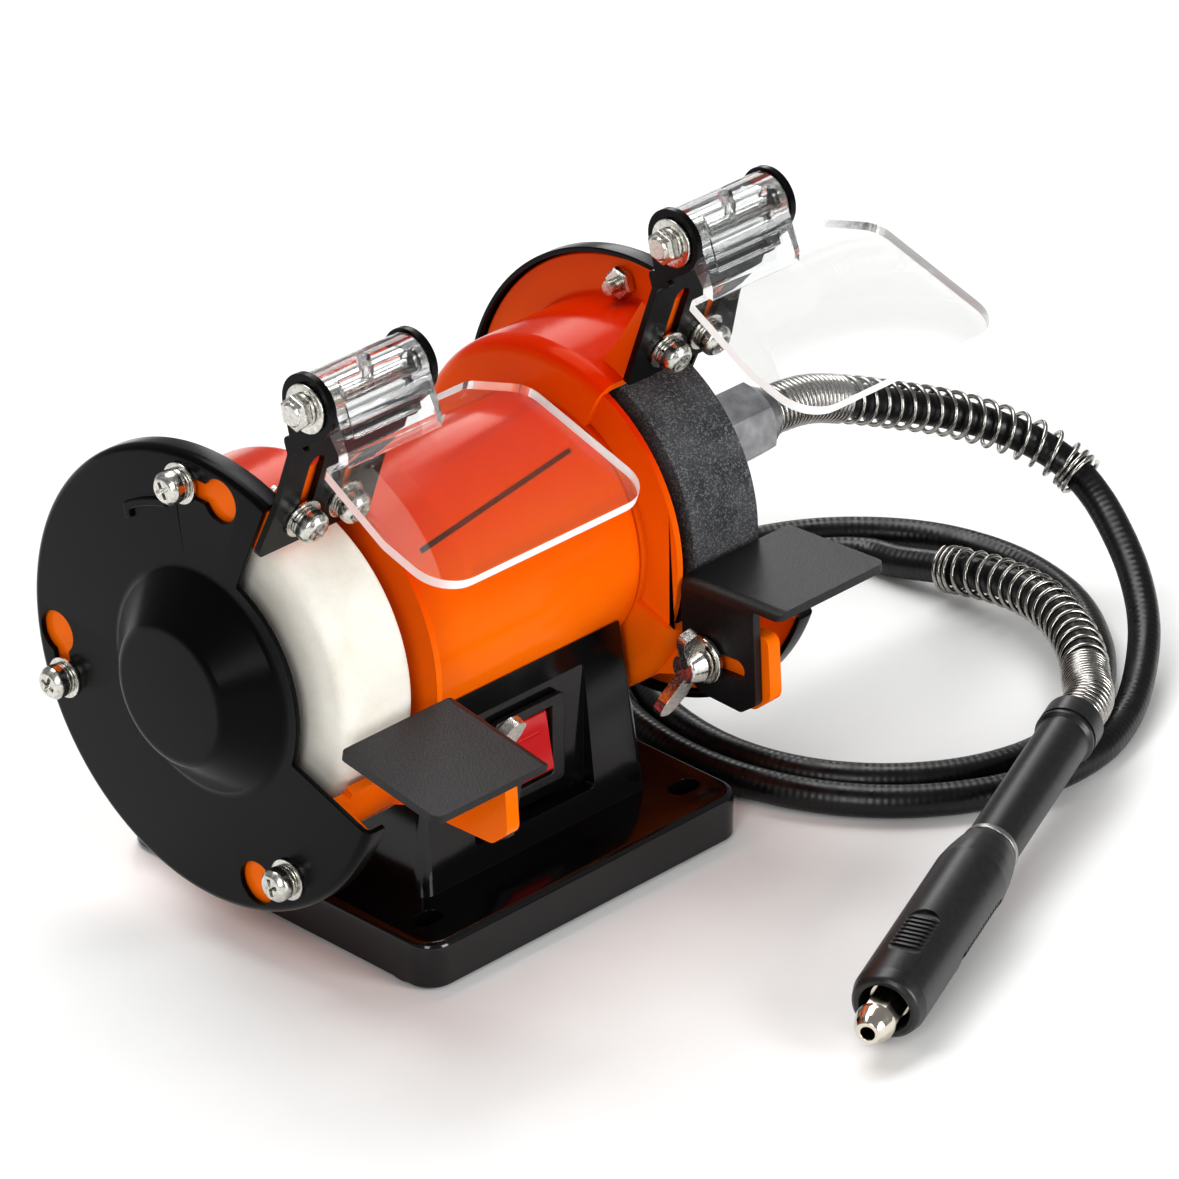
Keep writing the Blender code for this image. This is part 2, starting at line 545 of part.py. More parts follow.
def sheath_route():
    """Route of the sheath's centre line about the spindle centre: droop, two laps on the floor, rise."""
    route = [(COUPLING_END + 0.3, 0, 0), (116, 0, -1.4), (130, -0.5, -6.4), (145, -2, -12.8), (158.5, -5, -18.6), (170, -10, -24.6),
             (177, -16, -29.4), (180.4, -23, -33.8), (180.2, -31, -38.3), (176.6, -41, -43.2), (171.6, -50.5, -48.2),
             (164, -60, -53.4), (153, -68.8, -57.8), (139.5, -76.5, -61), (124, -81.6, -61.8)]
    outer = ((-103, 66), (-118, 65.6), (-134, 64.8), (-150, 63.6), (-167, 62.2), (175, 61), (155, 60.4), (130, 60), (105, 60),
             (80, 60), (55, 60), (30, 59.5), (8, 57.5), (-14, 54.5), (-36, 52), (-58, 52.2), (-80, 54.6))
    inner = ((-98, 56), (-116, 56), (-134, 55.4), (-151, 54.8), (-168, 53.8), (174, 52.6), (155, 52), (130, 51.6), (105, 51.6),
             (82, 51.2), (60, 50.6), (43, 49.4))
    for angle, radius in outer + inner:
        a = radians(angle)
        route.append((LOOP_CENTRE[0] + radius * cos(a), LOOP_CENTRE[1] + radius * sin(a), -61.8))
    route += [(157, 7.5, -60.8), (158.8, -4.5, -58.6), (159, -17, -56.2), (157.2, -29.5, -54), (152.8, -42, -52.2),
              (146, -54, -51), (137.4, -65.2, -50.2), (129.3, -73.2, -49.8)]
    start, tip = Vector(HAND_START), Vector(HAND_TIP)
    back = (start - tip).normalized()
    route += [tuple(start + back * 9.0), tuple(start + back * 0.3)]
    return [Vector(p) for p in route]


def smooth_route(spacing):
    """Even points along a smooth curve through the route."""
    pts = sheath_route()
    ends = [pts[0] - Vector((9, 0, 0)), pts[-1] + (Vector(HAND_TIP) - Vector(HAND_START)).normalized() * 9]
    pts = [ends[0]] + pts + [ends[1]]
    fine = []
    for i in range(1, len(pts) - 2):
        p0, p1, p2, p3 = pts[i - 1:i + 3]
        t0, t1 = 0.0, sqrt((p1 - p0).length)
        t2 = t1 + sqrt((p2 - p1).length)
        t3 = t2 + sqrt((p3 - p2).length)
        m1 = ((p1 - p0) / t1 - (p2 - p0) / t2 + (p2 - p1) / (t2 - t1)) * (t2 - t1)
        m2 = ((p2 - p1) / (t2 - t1) - (p3 - p1) / (t3 - t1) + (p3 - p2) / (t3 - t2)) * (t2 - t1)
        for k in range(12):
            s = k / 12
            fine.append(p1 * (2 * s**3 - 3 * s**2 + 1) + m1 * (s**3 - 2 * s**2 + s) + p2 * (3 * s**2 - 2 * s**3)
                        + m2 * (s**3 - s**2))
    fine.append(pts[-2])
    run = np.concatenate([[0], np.cumsum([(b - a).length for a, b in zip(fine, fine[1:])])])
    count = max(2, round(run[-1] / spacing) + 1)
    even = np.linspace(0, run[-1], count)
    flat = np.array([tuple(p) for p in fine])
    return [Vector([np.interp(u, run, flat[:, i]) for i in range(3)]) for u in even]


def frames_along(points):
    """A direction and two cross directions at each point, carried along without twist."""
    frames = []
    side = Vector((0, 0, 1))
    for i, point in enumerate(points):
        ahead = (points[min(i + 1, len(points) - 1)] - points[max(i - 1, 0)]).normalized()
        side = (side - ahead * side.dot(ahead)).normalized()
        frames.append((point, ahead, side, ahead.cross(side)))
    return frames


def ring_tube(rings, close_ends=True):
    bm = bmesh.new()
    rows = [[bm.verts.new(p) for p in ring] for ring in rings]
    count = len(rows[0])
    for a, b in zip(rows, rows[1:]):
        for i in range(count):
            j = (i + 1) % count
            bm.faces.new((a[i], a[j], b[j], b[i]))
    if close_ends:
        bm.faces.new(rows[0][::-1])
        bm.faces.new(rows[-1])
    return bm


def build_spring(name, points, tight, zinc):
    """A strain relief spring: close turns drawn as a sleeve over length tight, then open turns."""
    frames = frames_along(points)
    step = (points[1] - points[0]).length
    cut = round(tight / step)
    sleeve_rows = []
    for point, _, u, v in frames[:cut + 1]:
        sleeve_rows.append([point + (u * cos(2 * pi * k / 8) + v * sin(2 * pi * k / 8)) * SPRING_RADIUS for k in range(8)])
    inner_rows = []
    for point, _, u, v in frames[:cut + 1]:
        inner_rows.append([point + (u * cos(2 * pi * k / 8) + v * sin(2 * pi * k / 8)) * 4.3 for k in range(8)])
    bm = ring_tube(sleeve_rows + inner_rows[::-1] + [sleeve_rows[0]], close_ends=False)
    spring = finish(name, bm, zinc)
    turns = (len(points) - 1 - cut) * step / 4.0
    steps = int(turns * 7)
    rows = []
    for i in range(steps + 1):
        at = cut - 0.4 + (len(points) - 1 - cut + 0.4) * i / steps
        low = min(int(at), len(points) - 2)
        mix = at - low
        p = frames[low][0].lerp(frames[low + 1][0], mix)
        u = frames[low][2].lerp(frames[low + 1][2], mix).normalized()
        ahead = frames[low][1].lerp(frames[low + 1][1], mix).normalized()
        v = ahead.cross(u)
        a = 2 * pi * turns * i / steps
        out = u * cos(a) + v * sin(a)
        centre = p + out * (SPRING_RADIUS - WIRE / 2)
        rows.append([centre + (out * cos(t) + ahead * sin(t)) * (WIRE / 2) for t in (pi / 4, 3 * pi / 4, 5 * pi / 4, 7 * pi / 4)])
    coil = combine(spring, ring_tube(rows), "UNION")
    return spring


def build_flexible_shaft(aluminium, black, zinc):
    hexagon = [(74.0, 0), (74.0, 6.0), (77.0, 6.0), (77.0, 8.4), (100.5, 8.4), (100.5, 6.2), (COUPLING_END, 6.2), (COUPLING_END, 0)]
    finish("drive_coupling", turn(hexagon, 12), aluminium)
    fine = smooth_route(3.0)
    points = fine[0:34:2] + fine[37:-35:5] + fine[-33::2]
    points.insert(1, points[0] + Vector((1.5, 0, 0)))
    points.insert(-1, points[-1] + (Vector(HAND_START) - Vector(HAND_TIP)).normalized() * 1.5)
    curve = bpy.data.curves.new("shaft_sheath", "CURVE")
    curve.dimensions = "3D"
    curve.bevel_depth = SHEATH_RADIUS * MM
    curve.bevel_resolution = 2
    curve.use_fill_caps = True
    spline = curve.splines.new("POLY")
    spline.points.add(len(points) - 1)
    for knot, point in zip(spline.points, points):
        knot.co = (*((point + Vector((0, 0, SPINDLE_HEIGHT))) * MM), 1)
    sheath = bpy.data.objects.new("shaft_sheath", curve)
    bpy.context.scene.collection.objects.link(sheath)
    curve.materials.append(black)
    build_spring("machine_spring", fine[0:33], 24.0, zinc)
    build_spring("handpiece_spring", fine[::-1][0:33], 24.0, zinc)


def build_handpiece(black, satin, nickel):
    start, tip = Vector(HAND_START), Vector(HAND_TIP)
    along = (tip - start).normalized()
    turned = along.to_track_quat("X", "Z").to_matrix()
    tube = [(0, 0), (0, 6.2), (0.6, 6.8), (7.6, 6.8), (8.4, 6.0), (54.0, 6.0), (55.6, 6.3), (55.6, 0)]
    grip = [(55.9, 0), (55.9, 6.4), (58.5, 7.0), (62.5, 7.7), (67.0, 8.2), (115.0, 8.2), (117.6, 7.5), (118.4, 6.6), (118.4, 5.6),
            (109.0, 5.6), (109.0, 0)]
    nut = [(109.3, 0), (109.3, 4.4), (124.0, 4.4), (126.4, 3.6), (128.0, 2.6), (128.0, 1.6), (116.0, 1.6), (116.0, 0)]
    for name, profile, mat, sides in (("handpiece_tube", tube, satin, 20), ("handpiece_grip", grip, black, 24),
                                      ("collet_nut", nut, nickel, 12)):
        bm = turn(profile, sides)
        bmesh.ops.rotate(bm, verts=bm.verts, cent=(0, 0, 0), matrix=turned)
        bmesh.ops.translate(bm, verts=bm.verts, vec=start)
        middle = start + along * 114
        origin = (middle.x, middle.y, middle.z + SPINDLE_HEIGHT) if name == "collet_nut" else (0, 0, SPINDLE_HEIGHT)
        finish(name, bm, mat, origin=origin)


def main():
    clear_scene()
    orange = material("orange_paint", (0.80, 0.13, 0.01), 0.3)
    gloss_black = material("gloss_black_plastic", (0.012, 0.012, 0.013), 0.22)
    black_paint = material("black_paint", (0.02, 0.02, 0.022), 0.35)
    satin = material("satin_black_steel", (0.05, 0.05, 0.055), 0.45)
    zinc = material("zinc_plated_steel", (0.62, 0.62, 0.60), 0.28, 1.0)
    steel = material("ground_steel", (0.5, 0.5, 0.5), 0.3, 1.0)
    laminations = material("laminated_iron", (0.25, 0.25, 0.26), 0.5, 1.0)
    copper = material("enamelled_copper", (0.55, 0.22, 0.08), 0.35, 1.0)
    brass = material("copper_segments", (0.7, 0.4, 0.2), 0.3, 1.0)
    plastic = material("fan_plastic", (0.03, 0.03, 0.03), 0.5)
    graphite = material("graphite", (0.06, 0.06, 0.06), 0.6)
    felt = material("cream_felt", (0.80, 0.76, 0.66), 0.95)
    stone = material("grey_abrasive", (0.10, 0.10, 0.105), 0.9)
    red = material("red_rocker", (0.6, 0.02, 0.02), 0.3)
    clear = material("clear_plastic", (0.9, 0.92, 0.92), 0.08)
    aluminium = material("turned_aluminium", (0.72, 0.72, 0.72), 0.3, 1.0)
    nickel = material("nickel_plate", (0.66, 0.62, 0.56), 0.18, 1.0)
    rubber = material("black_sheath", (0.015, 0.015, 0.015), 0.4)
    build_base(gloss_black, steel)
    build_switch(gloss_black, red)
    build_motor(orange, laminations, copper, steel, brass, plastic, graphite)
    build_rotor(steel, laminations, copper, brass, plastic, felt, stone, zinc)
    for side in (-1, 1):
        build_guard(side, orange)
        build_cover(side, black_paint)
        build_cover_screws(side, zinc)
        build_rest(side, LEFT_REST_TILT if side < 0 else RIGHT_REST_TILT, satin, zinc)
        build_bracket(side, black_paint, zinc)
        build_shield(side, clear)
    build_flexible_shaft(aluminium, rubber, zinc)
    build_handpiece(gloss_black, black_paint, nickel)


main()
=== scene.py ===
"""Materials and fine surfaces of a mini bench grinder with a flexible shaft, laid over its packed parts.

Lengths inside the shape functions are millimetres about the middle of the spindle; place() turns them
into metres with the floor at Z = 0.
"""

from math import asin, atan2, cos, pi, radians, sin, sqrt, tan

import bmesh
import bpy
import numpy as np
from bpy.props import FloatProperty, IntProperty, PointerProperty, StringProperty
from mathutils import Matrix, Quaternion, Vector


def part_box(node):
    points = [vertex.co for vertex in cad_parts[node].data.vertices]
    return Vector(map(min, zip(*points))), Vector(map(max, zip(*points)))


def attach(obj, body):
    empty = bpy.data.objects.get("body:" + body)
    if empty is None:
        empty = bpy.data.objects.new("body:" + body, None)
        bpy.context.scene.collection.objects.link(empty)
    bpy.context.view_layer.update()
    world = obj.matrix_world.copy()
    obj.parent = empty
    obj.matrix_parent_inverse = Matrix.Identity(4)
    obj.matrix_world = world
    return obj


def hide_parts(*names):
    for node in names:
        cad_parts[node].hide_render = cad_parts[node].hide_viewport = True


bl_info = {
    "name": "Bench grinder finish",
    "version": (1, 0, 0),
    "blender": (4, 5, 0),
    "location": "View3D > Sidebar > Grinder",
    "description": "Builds the visible surfaces of a small bench grinder with a flexible shaft",
    "category": "Object",
}

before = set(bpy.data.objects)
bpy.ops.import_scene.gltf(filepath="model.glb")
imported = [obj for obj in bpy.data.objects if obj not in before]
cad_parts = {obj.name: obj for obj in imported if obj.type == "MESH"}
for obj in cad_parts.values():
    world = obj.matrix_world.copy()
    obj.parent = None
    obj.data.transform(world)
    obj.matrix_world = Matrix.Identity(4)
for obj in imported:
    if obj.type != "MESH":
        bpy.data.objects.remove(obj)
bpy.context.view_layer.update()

MM = 0.001
WHEEL_LOW, WHEEL_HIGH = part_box("felt_wheel")
SPINDLE = (WHEEL_LOW.z + WHEEL_HIGH.z) / 2 / MM
FLOOR = -SPINDLE
SIDES = ((-1, "left"), (1, "right"))

REST_PIVOT = (-47.0, -17.0)
LEAN = 19.0
BRACKET_FOOT = (-20.5, 37.3)
HINGE = (-34.0, 76.0)
COUPLING_END = 103.0
LOOP_CENTRE = (120.0, -17.0)
HAND_START = Vector((114.1, -83.4, -49.6))
HAND_TIP = Vector((-6.3, -131.8, -57.4))
SCREW_CIRCLE = 45.0
SCREW_ANGLES = (96.0, 200.0, -56.0)
KEYHOLE_ANGLES = (81.5, 187.0, -70.0)
OPENING = (-20.0, 65.0)


# ---------------------------------------------------------------- settings a user would change


class GrinderSizes(bpy.types.PropertyGroup):
    """Sizes of the details that are drawn over the part."""

    edge_round: FloatProperty(name="Edge rounding", description="Radius of the moulded and pressed edges",
                              default=0.45, min=0.05, max=2.0, unit="NONE")
    felt_round: FloatProperty(name="Felt edge", description="Radius that wear gives the felt wheel's edges",
                              default=3.2, min=0.5, max=8.0)
    spring_wire: FloatProperty(name="Spring wire", description="Wire diameter of the strain relief springs, mm",
                               default=1.1, min=0.4, max=2.0)
    spring_radius: FloatProperty(name="Spring radius", description="Outer radius of the strain relief springs, mm",
                                 default=5.6, min=4.5, max=8.0)
    sheath_diameter: FloatProperty(name="Sheath diameter", description="Outer diameter of the shaft's sheath, mm",
                                   default=7.4, min=4.0, max=12.0)
    turn_sides: IntProperty(name="Sides of a turned piece", description="Facets round a turned piece",
                            default=128, min=24, max=256)


class GrinderColours(bpy.types.PropertyGroup):
    """Paint and plastic colours, as sRGB hex."""

    enamel_low: StringProperty(name="Enamel, lit front", description="Orange of the housing's front",
                               default="#F5740A")
    # The second enamel tone is painted shade: the redder, darker orange that the enamel finish blends onto the upper
    # surfaces.
    enamel_painted_shade: StringProperty(name="Enamel, top", description="Orange of the housing's top", default="#C82C00")
    black_enamel: StringProperty(name="Black enamel", description="Covers and brackets", default="#0C0C0D")
    base: StringProperty(name="Base plastic", description="Base moulding", default="#0C0C0D")
    felt: StringProperty(name="Felt", description="Felt wheel", default="#F4F1E8")
    stone: StringProperty(name="Stone", description="Grinding wheel bond", default="#3A3B3D")
    rocker: StringProperty(name="Rocker", description="Switch rocker", default="#C01218")


# ---------------------------------------------------------------- materials


def linear(code):
    """An sRGB hex colour as the linear RGBA that shaders take."""
    parts = [int(code[i:i + 2], 16) / 255 for i in (1, 3, 5)]
    return (*[c / 12.92 if c <= 0.04045 else ((c + 0.055) / 1.055) ** 2.4 for c in parts], 1.0)


def add(tree, kind, inputs=None, stops=None, **settings):
    """Add a node with its settings, its input values or links, and the stops of its ramp if it has one."""
    made = tree.nodes.new(kind)
    for key, value in settings.items():
        setattr(made, key, value)
    for key, value in (inputs or {}).items():
        if isinstance(value, bpy.types.NodeSocket):
            tree.links.new(value, made.inputs[key])
        else:
            made.inputs[key].default_value = value
    for i, (at, colour) in enumerate(stops or ()):
        stop = made.color_ramp.elements[i] if i < 2 else made.color_ramp.elements.new(at)
        stop.position, stop.color = at, colour
    return made


def fresh(name):
    """A new material's tree, emptied, with its output and its Object coordinates in metres."""
    finish = bpy.data.materials.new(name)
    finish.use_nodes = True
    tree = finish.node_tree
    tree.nodes.clear()
    out = add(tree, "ShaderNodeOutputMaterial")
    coords = add(tree, "ShaderNodeTexCoord").outputs["Object"]
    return finish, tree, out, coords


def close(finish, tree, out, **principled):
    """Add the Principled shader with its sockets and join it to the output."""
    names = {key.replace("_", " ").title().replace("Ior", "IOR"): value for key, value in principled.items()}
    shader = add(tree, "ShaderNodeBsdfPrincipled", names)
    tree.links.new(shader.outputs[0], out.inputs["Surface"])
    return finish


def surface(colours, name, pattern, relief=None, tone=None, rough=None, bump=None, **principled):
    """A finish with one pattern for its colour and roughness, and the same or a second one for its bump.

    A pattern is its texture's inputs, with the axis of its bands if it is a wave. tone is two ramp stops,
    rough the two ends of the roughness, and bump its strength and its depth in metres.
    """
    finish, tree, out, at = fresh(name)
    nodes = []
    for inputs in (pattern, relief) if relief else (pattern,):
        values = {"Vector": at, **{key: value for key, value in inputs.items() if key != "bands"}}
        if "bands" in inputs:
            nodes.append(add(tree, "ShaderNodeTexWave", values, bands_direction=inputs["bands"]))
        else:
            nodes.append(add(tree, "ShaderNodeTexNoise", values))
    for key in ("base_color", "specular_tint"):
        if key in principled:
            principled[key] = linear(getattr(colours, principled[key], principled[key]))
    if tone:
        ramp = add(tree, "ShaderNodeValToRGB", {0: nodes[0].outputs[0]},
                   [(stop, linear(code)) for stop, code in tone])
        principled["base_color"] = ramp.outputs[0]
    if rough:
        spread = add(tree, "ShaderNodeMapRange", {0: nodes[0].outputs[0], 1: 0.3, 2: 0.7, 3: rough[0], 4: rough[1]})
        principled["roughness"] = spread.outputs[0]
    if bump:
        dents = add(tree, "ShaderNodeBump", {"Height": nodes[-1].outputs["Fac"], "Strength": bump[0],
                                             "Distance": bump[1]})
        principled["normal"] = dents.outputs[0]
    return close(finish, tree, out, **principled)


def noise(scale, detail=2.0, **more):
    return {"Scale": scale, "Detail": detail, **more}


def orange_enamel(colours):
    # Stoved orange enamel on die-cast and pressed metal: deep gloss, a faint orange peel 2 mm across,
    # with painted shade that turns the upper, up-facing surfaces redder and darker, and painted light that keeps the
    # faces turned out to the wheels bright orange.
    finish, tree, out, at = fresh("stoved_orange_enamel")
    # Painted shade: the higher a surface sits and the more it faces up, the more of the redder, darker shaded tone it
    # gets.
    height = add(tree, "ShaderNodeSeparateXYZ", {0: at}).outputs["Z"]
    painted_shade_height = add(tree, "ShaderNodeMapRange", {0: height, 1: 0.056, 2: 0.104}, interpolation_type="SMOOTHSTEP")
    cloud = add(tree, "ShaderNodeTexNoise", {"Vector": at, "Scale": 45.0, "Detail": 2.0})
    facing = add(tree, "ShaderNodeSeparateXYZ",
                 {0: add(tree, "ShaderNodeNewGeometry").outputs["Normal"]}).outputs["Z"]
    painted_shade_facing = add(tree, "ShaderNodeMapRange", {0: facing, 1: -0.4, 2: 0.7, 3: 0.25, 4: 1.0})
    both = add(tree, "ShaderNodeMath", {0: painted_shade_height.outputs[0], 1: painted_shade_facing.outputs[0]}, operation="MULTIPLY")
    # Painted light: faces turned out to the wheels lose most of the shaded tone and stay the bright lit orange.
    out_x = add(tree, "ShaderNodeVectorMath", {0: at, 1: add(tree, "ShaderNodeNewGeometry").outputs["Normal"]},
                operation="MULTIPLY")
    painted_light_outward = add(tree, "ShaderNodeMapRange",
                  {0: add(tree, "ShaderNodeSeparateXYZ", {0: out_x.outputs[0]}).outputs["X"], 1: 0.03, 2: 0.05,
                   3: 1.0, 4: 0.2})
    both = add(tree, "ShaderNodeMath", {0: both.outputs[0], 1: painted_light_outward.outputs[0]}, operation="MULTIPLY")
    # A random colour cloud plus the painted shade mask picks the tone on the ramp.
    tone_and_painted_shade = add(tree, "ShaderNodeMath", {0: cloud.outputs[0], 1: 0.16, 2: both.outputs[0]}, operation="MULTIPLY_ADD")
    ramp = add(tree, "ShaderNodeValToRGB", {0: tone_and_painted_shade.outputs[0]},
               [(0.05, linear(colours.enamel_low)), (1.0, linear(colours.enamel_painted_shade))])
    peel = add(tree, "ShaderNodeTexNoise", {"Vector": at, "Scale": 520.0, "Detail": 1.0})
    bump = add(tree, "ShaderNodeBump", {"Height": peel.outputs[0], "Strength": 0.10, "Distance": 0.00025})
    return close(finish, tree, out, base_color=ramp.outputs[0], roughness=0.16, IOR=1.25,
                 specular_tint=linear("#FF9A60"), normal=bump.outputs[0])


def moulded_abs(colours):
    # Injection-moulded black ABS from a polished tool: near-mirror gloss with slow waves over the flats.
    finish, tree, out, at = fresh("gloss_black_moulded_abs")
    flow = add(tree, "ShaderNodeTexNoise", {"Vector": at, "Scale": 70.0, "Detail": 2.0})
    fine = add(tree, "ShaderNodeTexNoise", {"Vector": at, "Scale": 1500.0, "Detail": 1.0})
    both = add(tree, "ShaderNodeMath", {0: fine.outputs[0], 1: 0.05, 2: flow.outputs[0]}, operation="MULTIPLY_ADD")
    bump = add(tree, "ShaderNodeBump", {"Height": both.outputs[0], "Strength": 0.10, "Distance": 0.0006})
    return close(finish, tree, out, base_color=linear(colours.base), roughness=0.13, IOR=1.54, normal=bump.outputs[0])


def wool_felt(colours):
    # Pressed wool felt: matt, off-white, with tangled fibres and soft hollows; fibres are drawn 0.8 mm
    # apart, coarser than real, so that they show.
    finish, tree, out, at = fresh("pressed_wool_felt")
    fibre = add(tree, "ShaderNodeTexNoise", {"Vector": at, "Scale": 1250.0, "Detail": 4.0, "Roughness": 0.7,
                                             "Distortion": 1.2})
    lumps = add(tree, "ShaderNodeTexNoise", {"Vector": at, "Scale": 95.0, "Detail": 3.0})
    blend = add(tree, "ShaderNodeMath", {0: fibre.outputs[0], 1: 0.35, 2: lumps.outputs[0]}, operation="MULTIPLY_ADD")
    tone = add(tree, "ShaderNodeValToRGB", {0: blend.outputs[0]},
               [(0.35, linear("#E4DECF")), (0.85, linear(colours.felt))])
    bump = add(tree, "ShaderNodeBump", {"Height": blend.outputs[0], "Strength": 0.55, "Distance": 0.0005})
    return close(finish, tree, out, base_color=tone.outputs[0], roughness=0.95, sheen_weight=0.35,
                 sheen_roughness=0.5, normal=bump.outputs[0])


def vitrified_stone(colours):
    # Vitrified grey abrasive, about 60 grit: open pores and pale glinting grains, drawn 0.4 mm across.
    finish, tree, out, at = fresh("vitrified_grey_abrasive")
    grains = add(tree, "ShaderNodeTexVoronoi", {"Vector": at, "Scale": 3000.0, "Randomness": 1.0})
    value = add(tree, "ShaderNodeSeparateColor", {0: grains.outputs["Color"]}).outputs[0]
    tone = add(tree, "ShaderNodeValToRGB", {0: value},
               [(0.0, linear("#232425")), (1.0, linear("#717274")), (0.55, linear(colours.stone)),
                (0.82, linear("#57585A"))])
    dust = add(tree, "ShaderNodeTexNoise", {"Vector": at, "Scale": 120.0, "Detail": 3.0})
    pale = add(tree, "ShaderNodeMapRange", {0: dust.outputs[0], 1: 0.35, 2: 0.75, 3: 0.0, 4: 0.35})
    dusty = add(tree, "ShaderNodeMix", {0: pale.outputs[0], 6: tone.outputs[0], 7: linear("#76777A")},
                data_type="RGBA")
    rough = add(tree, "ShaderNodeMapRange", {0: value, 1: 0.7, 2: 1.0, 3: 0.85, 4: 0.35})
    bump = add(tree, "ShaderNodeBump", {"Height": grains.outputs["Distance"], "Strength": 0.7, "Distance": 0.00035},
               invert=True)
    return close(finish, tree, out, base_color=dusty.outputs[2], roughness=rough.outputs[0], normal=bump.outputs[0])


def pvc_sheath(colours):
    # Extruded black PVC over a wound liner: soft gloss, with the liner's turns just showing every 1.6 mm.
    finish, tree, out, at = fresh("extruded_black_pvc")
    along = add(tree, "ShaderNodeUVMap").outputs[0]
    turns = add(tree, "ShaderNodeTexWave", {"Vector": along, "Scale": 196.0, "Distortion": 0.0}, bands_direction="X")
    scuff = add(tree, "ShaderNodeTexNoise", {"Vector": at, "Scale": 340.0, "Detail": 4.0})
    rough = add(tree, "ShaderNodeMapRange", {0: scuff.outputs[0], 1: 0.3, 2: 0.7, 3: 0.26, 4: 0.42})
    bump = add(tree, "ShaderNodeBump", {"Height": turns.outputs["Fac"], "Strength": 0.12, "Distance": 0.00025})
    return close(finish, tree, out, base_color=linear("#0C0C0D"), roughness=rough.outputs[0], IOR=1.48,
                 normal=bump.outputs[0])


